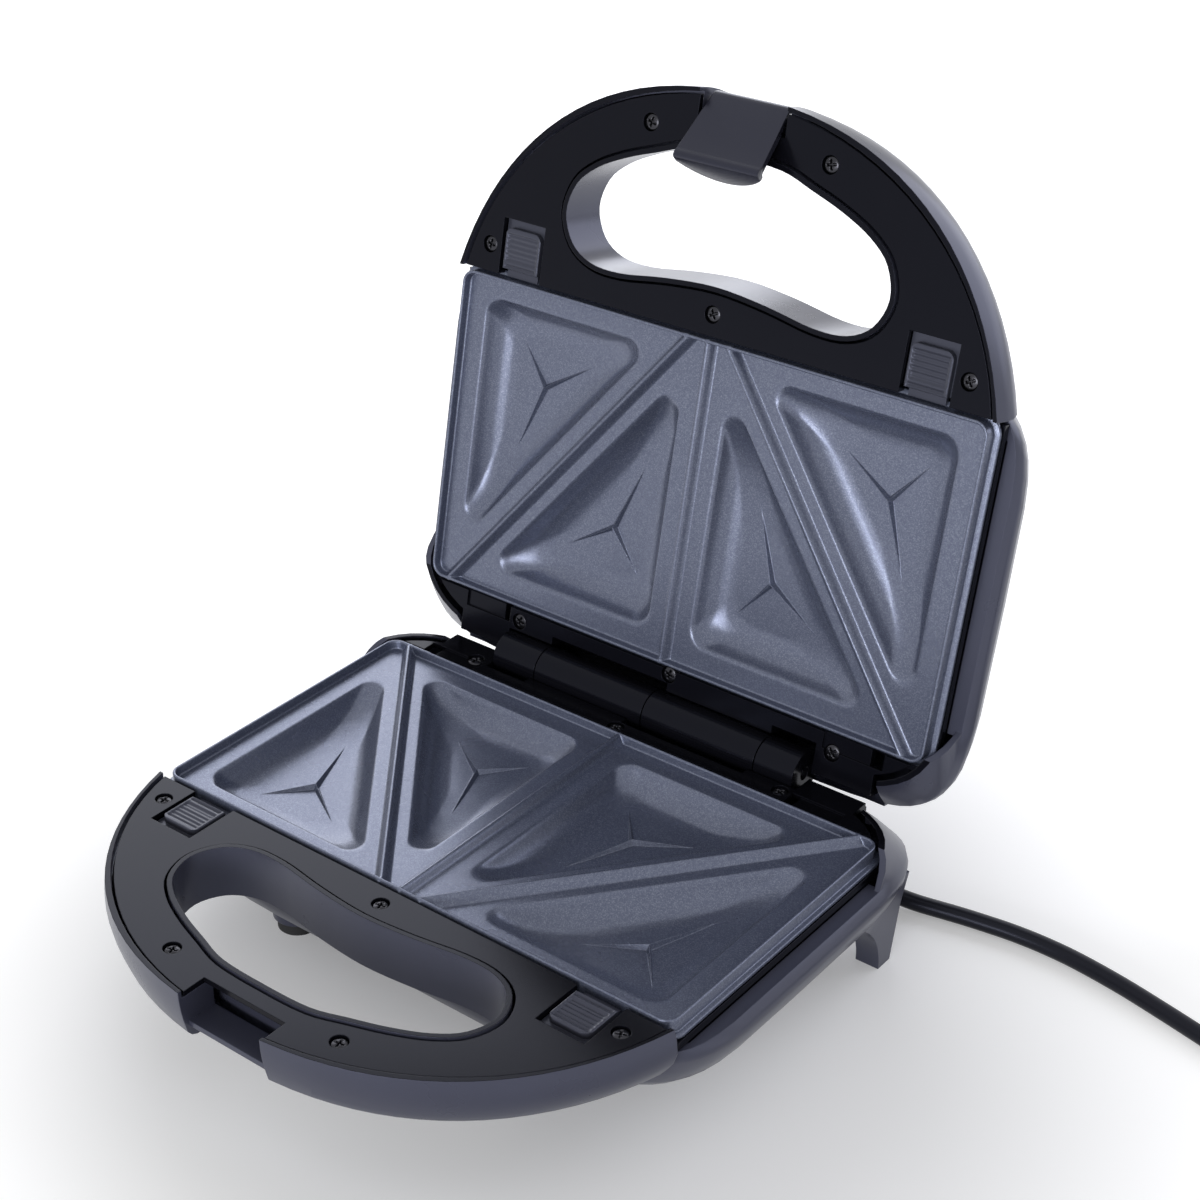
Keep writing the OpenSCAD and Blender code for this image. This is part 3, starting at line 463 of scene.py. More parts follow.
def rubber_material():
    return surface_material(
        "foot_rubber", (0.012, 0.012, 0.013), 0.72, spread=0.1, grain_scale=1200.0,
        grain_depth=0.00004, edge=0.0005,
    )


def latch_material():
    return surface_material(
        "latch_plastic", (0.046, 0.048, 0.064), 0.30, spread=0.06, grain_scale=1500.0,
        grain_depth=0.00001, edge=0.00025, gloss=0.4, gloss_tint=PAINTED_REFLECTION_TINT,
    )


def clip_material():
    return surface_material(
        "clip_plastic", (0.014, 0.014, 0.022), 0.26, spread=0.06, grain_scale=1500.0,
        grain_depth=0.00001, edge=0.0004, gloss=0.45, gloss_tint=PAINTED_REFLECTION_TINT,
    )


def plate_material():
    """A grey-blue non-stick coating with bright flecks, over a casting."""
    name = "non_stick_coating"
    if name in bpy.data.materials:
        return bpy.data.materials[name]
    look = bpy.context.scene.toaster_plates
    material, tree, shader = blank_material(name, look.coating_color)
    surface_node(tree, shader, {
        "Roughness": look.coating_roughness, "Spread": 0.06, "Grain Scale": 2600.0,
        "Grain Depth": 0.00004, "Edge Radius": 0.0003,
    })
    flecks = tree.nodes.new("ShaderNodeGroup")
    flecks.node_tree = coating_flecks()
    flecks.inputs["Scale"].default_value = 3200.0
    flecks.inputs["Amount"].default_value = 0.45
    blend_colors(tree, shader, look.coating_color, look.fleck_color, flecks.outputs["Flecks"])
    shader.inputs["Metallic"].default_value = 0.5
    shader.inputs["IOR"].default_value = 1.5
    return material


# Mesh helpers.
def keep_piece(name, mesh, material, body, smooth=True, nodes=()):
    mesh.materials.clear()
    mesh.materials.append(material)
    if smooth:
        mesh.shade_smooth()
    piece = bpy.data.objects.new(name, mesh)
    bpy.context.scene.collection.objects.link(piece)
    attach(piece, body)
    if nodes:
        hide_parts(*nodes)
    return piece


def dressed_copy(node, name, material, body, smooth_angle=35.0, dissolve=0.6):
    """A merged copy of a CAD node, with its curved faces smooth and its edges sharp."""
    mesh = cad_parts[node].data.copy()
    mesh.name = name
    form = bmesh.new()
    form.from_mesh(mesh)
    bmesh.ops.remove_doubles(form, verts=form.verts, dist=2e-6)
    bmesh.ops.dissolve_limit(
        form, angle_limit=math.radians(dissolve), verts=form.verts, edges=form.edges,
    )
    form.to_mesh(mesh)
    form.free()
    if mesh.has_custom_normals:
        mesh.attributes.remove(mesh.attributes["custom_normal"])
    smooth_below(mesh, smooth_angle)
    piece = keep_piece(name, mesh, material, body, smooth=False, nodes=(node,))
    weights = piece.modifiers.new("even_normals", "WEIGHTED_NORMAL")
    weights.keep_sharp = True
    return piece


def finish_node(node, material):
    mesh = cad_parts[node].data
    mesh.materials.clear()
    mesh.materials.append(material)


def smooth_route(points, steps):
    """Points on a smooth curve through the given ones."""
    p = [np.array(points[0])] + [np.array(q) for q in points] + [np.array(points[-1])]
    p[0] = 2 * p[1] - p[2]
    p[-1] = 2 * p[-2] - p[-3]
    out = []
    for i in range(1, len(p) - 2):
        a, b, c, d = p[i - 1], p[i], p[i + 1], p[i + 2]
        for k in range(steps):
            t = k / steps
            out.append(0.5 * (2 * b + (c - a) * t + (2 * a - 5 * b + 4 * c - d) * t * t
                              + (3 * b - a - 3 * c + d) * t ** 3))
    out.append(p[-2])
    return out


def tube_mesh(path, radii, sides):
    """A closed tube along a path, with a radius for each of its points."""
    path = [np.array(p, float) for p in path]
    count = len(path)
    ways = []
    for i in range(count):
        way = path[min(i + 1, count - 1)] - path[max(i - 1, 0)]
        ways.append(way / np.linalg.norm(way))
    across = np.cross(ways[0], (0, 0, 1))
    across /= np.linalg.norm(across)
    points = []
    for i in range(count):
        across = across - ways[i] * np.dot(across, ways[i])
        across /= np.linalg.norm(across)
        up = np.cross(across, ways[i])
        for k in range(sides):
            a = 2 * math.pi * k / sides
            points.append(path[i] + radii[i] * (math.cos(a) * across + math.sin(a) * up))
    faces = sweep_faces(count, sides)
    faces.append(tuple(range(sides - 1, -1, -1)))
    faces.append(tuple((count - 1) * sides + k for k in range(sides)))
    return points, faces


def grid_faces(first, nx, ny, turned=False):
    """Faces of a grid of points that are numbered row by row from the first one."""
    row = nx + 1
    faces = []
    for j in range(ny):
        for i in range(nx):
            a = first + j * row + i
            if turned:
                faces.append((a, a + 1, a + row + 1, a + row))
            else:
                faces.append((a, a + row, a + row + 1, a + 1))
    return faces


def grid_border(first, nx, ny):
    """Numbers of the points on a grid's border, once round it."""
    row = nx + 1
    top = [first + ny * row + i for i in range(nx)]
    right = [first + j * row + nx for j in range(ny, 0, -1)]
    low = [first + i for i in range(nx, 0, -1)]
    left = [first + j * row for j in range(ny)]
    return top + right + low + left


def band_faces(last, this):
    """A band of faces between two closed rings of points."""
    faces = []
    for i in range(len(last)):
        k = (i + 1) % len(last)
        faces.append((last[i], this[i], this[k], last[k]))
    return faces


def sweep_faces(rings, sides):
    """Faces between the rings of a swept form, whose points are numbered ring by ring."""
    faces = []
    for i in range(rings - 1):
        for k in range(sides):
            j = (k + 1) % sides
            faces.append((i * sides + k, i * sides + j, (i + 1) * sides + j, (i + 1) * sides + k))
    return faces


def facing_out(mesh):
    form = bmesh.new()
    form.from_mesh(mesh)
    bmesh.ops.recalc_face_normals(form, faces=form.faces)
    form.to_mesh(mesh)
    form.free()
    mesh.update()


def closed_mesh(name, points, faces, *moves):
    """A mesh with its faces outward, after the given moves."""
    mesh = bpy.data.meshes.new(name)
    mesh.from_pydata([tuple(p) for p in points], [], faces)
    for move in moves:
        mesh.transform(move)
    facing_out(mesh)
    return mesh


def smooth_below(mesh, angle):
    """Shades a mesh smooth, with edges steeper than the angle left sharp."""
    mesh.shade_smooth()
    mesh.set_sharp_from_angle(angle=math.radians(angle))


# The cord's path.
def coil_point(u):
    half = COIL_TURNS / 2
    radius = COIL_RADIUS - COIL_PITCH * (half - abs(u - half))
    height = COIL_LOW + COIL_PITCH * max(0.0, min(1.0, (u - half + 0.25) / 0.5))
    a = math.radians(COIL_START + 360 * u)
    return np.array((COIL_MID[0] + radius * math.cos(a), COIL_MID[1] + radius * math.sin(a), height))


def coil_way(u):
    a = math.radians(COIL_START + 360 * u)
    return np.array((-math.sin(a), math.cos(a), 0.0))


def whole_cord_path():
    free = smooth_route(CORD_ROUTE, 2)
    count = round(COIL_TURNS * COIL_RINGS)
    wound = [coil_point(i / COIL_RINGS) for i in range(count + 1)]
    end = coil_point(COIL_TURNS)
    way = coil_way(COIL_TURNS)
    tail = []
    for i in range(1, COIL_TAIL_STEPS + 1):
        t = i / COIL_TAIL_STEPS
        rise = (PLUG_HEIGHT - end[2]) * t * t * (3 - 2 * t)
        tail.append(end + way * COIL_TAIL * t + np.array((0, 0, rise)))
    tail.append(tail[-1] + way * PLUG_REACH)
    return free, wound, tail


class TOASTER_OT_stage(bpy.types.Operator):
    """Make the camera, the lamps, the world and the floor"""
    bl_idname = "toaster.stage"
    bl_label = "Stage"

    def execute(self, context):
        look = context.scene.toaster_stage
        context.scene.view_settings.view_transform = "Standard"
        self.make_camera(context)
        self.make_world(context, look)
        self.make_floor(look)
        self.make_lamp("key_lamp", (-1.12, 1.15, 0.80), (1.3, 1.2), look.key_power, (0.92, 0.94, 1.0))
        self.make_lamp("rear_lamp", (0.65, 1.55, 0.78), (1.7, 1.1), look.rear_power, (0.84, 0.86, 1.0))
        self.make_lamp("front_lamp", (0.35, -1.9, 0.42), (1.3, 0.6), look.front_power, (0.96, 0.97, 1.0))
        return {"FINISHED"}

    def make_camera(self, context):
        azimuth = math.radians(CAMERA_AZIMUTH)
        elevation = math.radians(CAMERA_ELEVATION)
        roll = math.radians(CAMERA_ROLL)
        back = Vector((
            math.sin(azimuth) * math.cos(elevation),
            -math.cos(azimuth) * math.cos(elevation),
            math.sin(elevation),
        ))
        right = Vector((math.cos(azimuth), math.sin(azimuth), 0.0))
        up = back.cross(right)
        rolled_right = right * math.cos(roll) + up * math.sin(roll)
        rolled_up = up * math.cos(roll) - right * math.sin(roll)
        eye = back * CAMERA_AWAY - rolled_right * CAMERA_LEFT + rolled_up * CAMERA_UP
        eye += Vector((0, SHIFT_Y, MATE_HEIGHT))
        lens = bpy.data.cameras.new("photo_camera")
        lens.sensor_fit = "HORIZONTAL"
        lens.sensor_width = SENSOR_WIDTH
        lens.lens = FOCAL_PIXELS / PICTURE_SIZE * SENSOR_WIDTH
        lens.shift_x = (PICTURE_SIZE / 2 - OPTICAL_MIDDLE[0]) / PICTURE_SIZE
        lens.shift_y = (OPTICAL_MIDDLE[1] - PICTURE_SIZE / 2) / PICTURE_SIZE
        lens.clip_start = 0.01
        camera = bpy.data.objects.new("photo_camera", lens)
        turned = Matrix((rolled_right, rolled_up, back)).transposed().to_4x4()
        camera.matrix_world = Matrix.Translation(eye * MM) @ turned
        context.scene.collection.objects.link(camera)
        context.scene.camera = camera

    def make_world(self, context, look):
        world = bpy.data.worlds.new("studio")
        context.scene.world = world
        world.use_nodes = True
        tree = world.node_tree
        tree.nodes.clear()
        leave = tree.nodes.new("ShaderNodeOutputWorld")
        mix = tree.nodes.new("ShaderNodeMixShader")
        shown = tree.nodes.new("ShaderNodeBackground")
        shown.inputs["Color"].default_value = (1, 1, 1, 1)
        shown.inputs["Strength"].default_value = 1.0
        light = tree.nodes.new("ShaderNodeBackground")
        light.inputs["Color"].default_value = (1, 1, 1, 1)
        light.inputs["Strength"].default_value = look.world_strength
        seen = seen_rays(tree)
        join(tree, seen, mix.inputs[0])
        join(tree, light.outputs[0], mix.inputs[1])
        join(tree, shown.outputs[0], mix.inputs[2])
        join(tree, mix.outputs[0], leave.inputs[0])

    def make_floor(self, look):
        size = FLOOR_HALF
        corners = [(-size, -size, 0), (size, -size, 0), (size, size, 0), (-size, size, 0)]
        mesh = bpy.data.meshes.new("floor")
        mesh.from_pydata(corners, [], [(0, 1, 2, 3)])
        floor = bpy.data.objects.new("floor", mesh)
        bpy.context.scene.collection.objects.link(floor)
        material = bpy.data.materials.new("floor_paper")
        material.use_nodes = True
        tree = material.node_tree
        tree.nodes.clear()
        leave = tree.nodes.new("ShaderNodeOutputMaterial")
        paper = tree.nodes.new("ShaderNodeBsdfDiffuse")
        paper.inputs["Color"].default_value = look.floor_color
        glow = tree.nodes.new("ShaderNodeEmission")
        glow.inputs["Color"].default_value = (1, 1, 1, 1)
        seen = seen_rays(tree)
        # Painted shadow: the floor's glow is weakest round a spot on the object's shadow side and grows
        # outward from it.
        place = tree.nodes.new("ShaderNodeTexCoord")
        away = add_node(tree, "ShaderNodeVectorMath", operation="DISTANCE")
        away.inputs[1].default_value = PAINTED_SHADOW_MIDDLE
        join(tree, place.outputs["Object"], away.inputs[0])
        fade = tree.nodes.new("ShaderNodeMapRange")
        fade.interpolation_type = "SMOOTHSTEP"
        fade.inputs["From Min"].default_value = FLOOR_NEAR
        fade.inputs["From Max"].default_value = FLOOR_FAR
        fade.inputs["To Min"].default_value = GLOW_NEAR
        fade.inputs["To Max"].default_value = GLOW_FAR
        join(tree, away.outputs["Value"], fade.inputs["Value"])
        share = add_node(tree, "ShaderNodeMath", operation="MULTIPLY")
        join(tree, fade.outputs["Result"], share.inputs[1])
        join(tree, seen, share.inputs[0])
        join(tree, share.outputs[0], glow.inputs["Strength"])
        both = tree.nodes.new("ShaderNodeAddShader")
        join(tree, paper.outputs[0], both.inputs[0])
        join(tree, glow.outputs[0], both.inputs[1])
        join(tree, both.outputs[0], leave.inputs[0])
        mesh.materials.append(material)

    def make_lamp(self, name, place, size, power, color):
        lamp = bpy.data.lights.new(name, "AREA")
        lamp.shape = "RECTANGLE"
        lamp.size = size[0]
        lamp.size_y = size[1]
        lamp.color = color
        lamp.energy = power
        holder = bpy.data.objects.new(name, lamp)
        aim = Vector(LAMP_AIM) - Vector(place)
        turn = aim.to_track_quat("-Z", "Y").to_matrix().to_4x4()
        holder.matrix_world = Matrix.Translation(place) @ turn
        bpy.context.scene.collection.objects.link(holder)


def seen_rays(tree):
    """One for a ray that shows the background: from the camera, a gloss or a glass."""
    rays = tree.nodes.new("ShaderNodeLightPath")
    first = add_node(tree, "ShaderNodeMath", operation="MAXIMUM")
    join(tree, rays.outputs["Is Camera Ray"], first.inputs[0])
    join(tree, rays.outputs["Is Glossy Ray"], first.inputs[1])
    second = add_node(tree, "ShaderNodeMath", operation="MAXIMUM")
    join(tree, first.outputs[0], second.inputs[0])
    join(tree, rays.outputs["Is Transmission Ray"], second.inputs[1])
    return second.outputs[0]


class TOASTER_OT_cord(bpy.types.Operator):
    """Make the mains cord with its coil, sleeve, tie and plug"""
    bl_idname = "toaster.cord"
    bl_label = "Cord"

    def execute(self, context):
        look = context.scene.toaster_cord
        radius = look.diameter / 2
        material = cord_material()
        free, wound, tail = whole_cord_path()
        path = [p * MM for p in free[:-1] + wound + tail]
        points, faces = tube_mesh(path, [radius] * len(path), 20)
        mesh = closed_mesh("mains_cord", points, faces)
        cord = keep_piece("mains_cord", mesh, material, "base", nodes=("cord", "cord_coil"))
        sleeve = self.make_sleeve(material)
        tie = dressed_copy("cord_tie", "cord_tie_strap", rubber_material(), "base")
        plug = dressed_copy("plug", "mains_plug", material, "base")
        pins = dressed_copy("plug_pins", "mains_plug_pins", steel_material(), "base")
        return {"FINISHED"}

    def make_sleeve(self, material):
        tip = np.array(GLAND_TIP)
        way = np.array(GLAND_WAY)
        way /= np.linalg.norm(way)
        path = []
        radii = []
        steps = 8 * SLEEVE_RIBS
        for i in range(steps + 1):
            t = i / steps
            groove = 0.5 * (1 - math.cos(2 * math.pi * SLEEVE_RIBS * t)) ** 0.5 / 2 ** 0.5
            cut = 0.6 * (1 - groove * 2) * 0.5 * (0 < t < 1)
            path.append((tip - way * GLAND_LENGTH * (1 - t)) * MM)
            radii.append((SLEEVE_RADIUS - SLEEVE_TAPER * t - cut - 0.3) * MM)
        points, faces = tube_mesh(path, radii, 24)
        mesh = closed_mesh("cord_sleeve", points, faces)
        return keep_piece("cord_sleeve", mesh, material, "base", nodes=("strain_relief",))


class TOASTER_OT_shells(bpy.types.Operator):
    """Finish the two outer mouldings"""
    bl_idname = "toaster.shells"
    bl_label = "Shells"

    def execute(self, context):
        for half, place in HALVES.items():
            piece = dressed_copy(f"{half}_shell", f"{half}_moulding", shell_material(), half)
            # Painted shade: the rims take the black cover material.
            self.paint_shade_on_rims(piece.data, place)
        return {"FINISHED"}

    def paint_shade_on_rims(self, mesh, place):
        """The narrow rims that meet the other half get the black cover material as painted shade, for the
        dark reflections on them; the shell itself is one colour. The hinge's barrels take the black cover
        material too.
        """
        mesh.materials.append(cover_material())
        back = place.inverted()
        facing = (place.to_3x3() @ Vector((0, 0, -1))).normalized()
        half_w, near, far, deep = HINGE_ZONE
        for face in mesh.polygons:
            spot = back @ face.center
            rim = face.normal.dot(facing) > 0.9 and spot.z < RIM_DEPTH
            hinge = abs(spot.x) < half_w and near < spot.y < far and spot.z < deep
            if rim or hinge:
                face.material_index = 1


class TOASTER_OT_covers(bpy.types.Operator):
    """Finish the two inner covers"""
    bl_idname = "toaster.covers"
    bl_label = "Inner covers"

    def execute(self, context):
        for half in HALVES:
            dressed_copy(f"{half}_cover", f"{half}_inner_cover", cover_material(), half)
        return {"FINISHED"}


def to_rounded(x, y, half_w, half_d, r):
    """Moves points of a rectangle's corner squares into quarter circles."""
    s = np.clip((np.abs(x) - (half_w - r)) / r, 0, 1)
    t = np.clip((np.abs(y) - (half_d - r)) / r, 0, 1)
    corner = (s > 0) & (t > 0)
    nx = np.sign(x) * (half_w - r + r * s * np.sqrt(1 - t * t / 2))
    ny = np.sign(y) * (half_d - r + r * t * np.sqrt(1 - s * s / 2))
    return np.where(corner, nx, x), np.where(corner, ny, y)


def soft_floor(value, width):
    """Zero below zero and the value above it, with a rounded turn."""
    return width * np.logaddexp(0, value / width)


def pocket_inset(x, y):
    """How far a point lies inside a pocket's outline, below zero outside it."""
    corners = [np.array(c) for c in POCKET_CORNERS]
    nearest = np.full(x.shape, 1e9)
    for k in range(3):
        a = corners[k]
        b = corners[(k + 1) % 3]
        way = (b - a) / np.linalg.norm(b - a)
        nearest = np.minimum(nearest, (x - a[0]) * -way[1] + (y - a[1]) * way[0])
    result = nearest.copy()
    for k in range(3):
        v = corners[k]
        to_last = corners[(k + 2) % 3] - v
        to_last /= np.linalg.norm(to_last)
        to_next = corners[(k + 1) % 3] - v
        to_next /= np.linalg.norm(to_next)
        half_sine = math.sin(math.acos(float(to_last @ to_next)) / 2)
        middle = (to_last + to_next) / np.linalg.norm(to_last + to_next)
        r = POCKET_RADII[k]
        start = r / half_sine
        rate = 1.3 / half_sine
        wx = x - v[0]
        wy = y - v[1]
        along = wx * middle[0] + wy * middle[1]
        square = wx * wx + wy * wy
        qa = rate * rate - 0.09
        qb = 2 * start * rate - 2 * along * rate - 0.6 * r
        qc = square - 2 * along * start + start * start - r * r
        root = (-qb + np.sqrt(np.maximum(0, qb * qb - 4 * qa * qc))) / (2 * qa)
        reach = start + rate * root
        mx = wx - middle[0] * reach
        my = wy - middle[1] * reach
        behind = (mx * to_last[0] + my * to_last[1] < 0) & (mx * to_next[0] + my * to_next[1] < 0)
        near = along < 60
        result = np.where(behind & near, np.minimum(result, root), result)
    return result


def smooth_profile(value, places, heights):
    """A smooth rising curve through the given places and heights."""
    places = np.array(places)
    heights = np.array(heights)
    gaps = np.diff(heights) / np.diff(places)
    slopes = np.zeros(len(places))
    slopes[0] = gaps[0]
    slopes[1:-1] = 2 * gaps[:-1] * gaps[1:] / np.maximum(1e-9, gaps[:-1] + gaps[1:])
    index = np.clip(np.searchsorted(places, value, side="right") - 1, 0, len(places) - 2)
    width = (places[1:] - places[:-1])[index]
    t = np.clip((value - places[index]) / width, 0, 1)
    h0 = 2 * t ** 3 - 3 * t ** 2 + 1
    h1 = t ** 3 - 2 * t ** 2 + t
    h2 = -2 * t ** 3 + 3 * t ** 2
    h3 = t ** 3 - t ** 2
    return (h0 * heights[index] + h1 * width * slopes[index]
            + h2 * heights[index + 1] + h3 * width * slopes[index + 1])


def plate_depth(x, y, land, floor, with_ridges):
    """Depth of the plate's front at each point."""
    depth = np.full(x.shape, land)
    for side in (-1, 1):
        for turned in (False, True):
            px = x * -side
            py = y
            if turned:
                px = 2 * POCKET_TURN_MID[0] - px
                py = 2 * POCKET_TURN_MID[1] - py
            inset = soft_floor(pocket_inset(px, py), 0.22)
            depth = depth + (floor - land) * smooth_profile(inset, POCKET_INSETS, POCKET_SHARES)
    if with_ridges:
        for (x0, y0), (x1, y1) in RIDGES:
            length = math.hypot(x1 - x0, y1 - y0)
            off = np.abs((x - x0) * -(y1 - y0) + (y - y0) * (x1 - x0)) / length
            flank = 0.2 + soft_floor(off - 0.6, 0.12) * (land - 0.2) / 1.75
            low = np.minimum(depth, flank)
            close = np.maximum(0.45 - np.abs(depth - flank), 0) / 0.45
            depth = low - close * close * 0.45 / 4
    return depth


def rounded_loop(half_w, half_d, r, xs, ys):
    """The outline that a plate grid ends on, as places and outward directions."""
    top = [(x, half_d) for x in xs[:-1]]
    right = [(half_w, y) for y in ys[::-1][:-1]]
    low = [(x, -half_d) for x in xs[::-1][:-1]]
    left = [(-half_w, y) for y in ys[:-1]]
    raw = np.array(top + right + low + left)
    px, py = to_rounded(raw[:, 0], raw[:, 1], half_w, half_d, r)
    cx = np.clip(px, -(half_w - r), half_w - r)
    cy = np.clip(py, -(half_d - r), half_d - r)
    ways = np.stack([px - cx, py - cy], 1)
    ways /= np.linalg.norm(ways, axis=1)[:, None]
    return np.stack([px, py], 1), ways


RIM_PROFILE = (
    (0.08, 3.0), (0.2, 0.85), (0.28, 0.45), (0.45, 0.22), (0.7, 0.15), (0.95, 0.15), (1.2, 0.23),
    (1.34, 0.41), (1.4, 0.65), (1.4, 4.6), (1.5, 4.92), (1.75, 5.0), (3.15, 5.0), (3.35, 5.12),
    (3.4, 5.4), (3.4, 6.2), (3.3, 6.45), (3.1, 6.5), (0.9, 6.5), (0.6, 6.35), (0.4, 5.9),
)


def plate_mesh(look):
    """The whole casting: front, rim, flange and back, as one closed mesh."""
    land = look.land_depth / MM
    floor = look.pocket_floor / MM
    step = look.grid_step / MM
    half_w = PLATE_HALF_W - RIM_THICK
    half_d = PLATE_HALF_D - RIM_THICK
    coarse = 4
    nx = int(round(2 * half_w / step / coarse)) * coarse
    ny = int(round(2 * half_d / step / coarse)) * coarse
    xs = np.linspace(-half_w, half_w, nx + 1)
    ys = np.linspace(-half_d, half_d, ny + 1)
    gx, gy = np.meshgrid(xs, ys)
    gx, gy = to_rounded(gx, gy, half_w, half_d, RIM_CORNER)
    depth = plate_depth(gx, gy, land, floor, True)
    points = [np.stack([gx.ravel(), gy.ravel(), depth.ravel()], 1)]
    faces = grid_faces(0, nx, ny)
    loop = grid_border(0, nx, ny)
    outline, ways = rounded_loop(half_w, half_d, RIM_CORNER, xs, ys)
    count = len(outline)
    last = loop
    edge_depth = depth.ravel()[loop]
    total = (nx + 1) * (ny + 1)
    for offset, level in RIM_PROFILE:
        ring = outline + ways * offset
        level_here = np.minimum(level, edge_depth) if level < land else np.full(count, level)
        points.append(np.column_stack([ring, level_here]))
        this = [total + i for i in range(count)]
        faces += band_faces(last, this)
        total += count
        last = this
    cxs = xs[::coarse]
    cys = ys[::coarse]
    bx, by = np.meshgrid(cxs, cys)
    bx, by = to_rounded(bx, by, half_w, half_d, RIM_CORNER)
    back = plate_depth(bx, by, land, floor, False) + PLATE_WALL
    points.append(np.stack([bx.ravel(), by.ravel(), back.ravel()], 1))
    faces += grid_faces(total, nx // coarse, ny // coarse, turned=True)
    border = grid_border(total, nx // coarse, ny // coarse)
    for c in range(len(border)):
        a = border[c]
        b = border[(c + 1) % len(border)]
        fine = [last[(c * coarse + k) % count] for k in range(coarse + 1)]
        for k in range(coarse):
            owner = a if k < coarse // 2 else b
            faces.append((fine[k + 1], fine[k], owner))
            if k == coarse // 2 - 1:
                faces.append((fine[k + 1], a, b))
    return np.concatenate(points), faces


def crease_faces(look, start):
    """Points and flat faces of the four three-way creases."""
    floor = look.pocket_floor / MM
    mid = np.array(CREASE_MID)
    tips = [np.array(t) for t in CREASE_TIPS]
    ring = []
    for k in range(3):
        ring.append(tips[k])
        one = (tips[k] - mid) / np.linalg.norm(tips[k] - mid)
        two = (tips[(k + 1) % 3] - mid) / np.linalg.norm(tips[(k + 1) % 3] - mid)
        between = one + two
        ring.append(mid + 1.2 * between / np.linalg.norm(between))
    base = [(mid[0], mid[1], floor - look.crease_height / MM)]
    base += [(p[0], p[1], floor + 0.02) for p in ring]
    base += [(p[0], p[1], floor + 0.8) for p in ring]
    base = np.array(base)
    points = []
    faces = []
    for side in (-1, 1):
        for turned in (False, True):
            copy = base.copy()
            if turned:
                copy[:, 0] = 2 * POCKET_TURN_MID[0] - copy[:, 0]
                copy[:, 1] = 2 * POCKET_TURN_MID[1] - copy[:, 1]
            if side == 1:
                copy[:, 0] *= -1
            first = start + len(points) * 13
            for i in range(6):
                j = (i + 1) % 6
                faces.append((first, first + 1 + i, first + 1 + j))
                faces.append((first + 1 + i, first + 7 + i, first + 7 + j, first + 1 + j))
            faces.append(tuple(first + 7 + i for i in range(5, -1, -1)))
            points.append(copy)
    return np.concatenate(points), faces


class TOASTER_OT_plates(bpy.types.Operator):
    """Make the two cast grill plates"""
    bl_idname = "toaster.plates"
    bl_label = "Grill plates"

    def execute(self, context):
        look = context.scene.toaster_plates
        for half, node in (("base", "lower_plate"), ("lid", "upper_plate")):
            place = HALVES[half]
            points, faces = plate_mesh(look)
            skin_faces = len(faces)
            extra, more = crease_faces(look, len(points))
            lugs, lug_faces = self.lugs(len(points) + len(extra))
            points = np.concatenate([points, extra, lugs])
            mesh = closed_mesh(f"{node}_casting", points, faces + more + lug_faces, place)
            smooth = np.zeros(len(mesh.polygons), bool)
            smooth[:skin_faces] = True
            mesh.polygons.foreach_set("use_smooth", smooth)
            piece = keep_piece(f"{node}_casting", mesh, plate_material(), half, False, (node,))
            piece.data.update()
        return {"FINISHED"}

    def lugs(self, start):
        """The ears that the latches and the rear slots hold."""
        spots = []
        for side in (-1, 1):
            spots.append((side * LATCH_X - 6, side * LATCH_X + 6, -63.6, -58, 5.2, 7))
            spots.append((side * 82 - 6, side * 82 + 6, 58, 63.8, 5.2, 7))
        points, faces = box_faces(spots, start)
        return np.array(points), faces


def box_faces(spots, start):
    """Corners and faces of plain boxes, for adding to a mesh that has some points already."""
    points = []
    faces = []
    for x0, x1, y0, y1, z0, z1 in spots:
        first = start + len(points)
        points += [(x, y, z) for z in (z0, z1) for y in (y0, y1) for x in (x0, x1)]
        for f in ((0, 2, 3, 1), (4, 5, 7, 6), (0, 1, 5, 4), (2, 6, 7, 3), (0, 4, 6, 2), (1, 3, 7, 5)):
            faces.append(tuple(first + i for i in f))
    return points, faces


def pad_depth(x, y):
    """Depth of the latch pad's top: a frame, soft ribs in a sunk panel and a bar at the plate's end."""
    off_ends = np.minimum(y + PAD_HALF_L - 2.0, PAD_HALF_L - 0.9 - y)
    inside = np.minimum(PAD_HALF_W - PAD_FRAME - np.abs(x), off_ends)
    sunk = 1 / (1 + np.exp(-inside / 0.16))
    ribs = 0.5 + 0.5 * np.cos(2 * math.pi * (y + PAD_HALF_L - 3.4) / PAD_RIB_STEP)
    rib_zone = 1 / (1 + np.exp((y - PAD_HALF_L + 4.4) / 0.15))
    bar = np.exp(-((y - PAD_HALF_L + 2.5) / 0.85) ** 4)
    panel = 0.75 - 0.38 * ribs * rib_zone - 0.62 * bar
    return PAD_TOP + sunk * panel


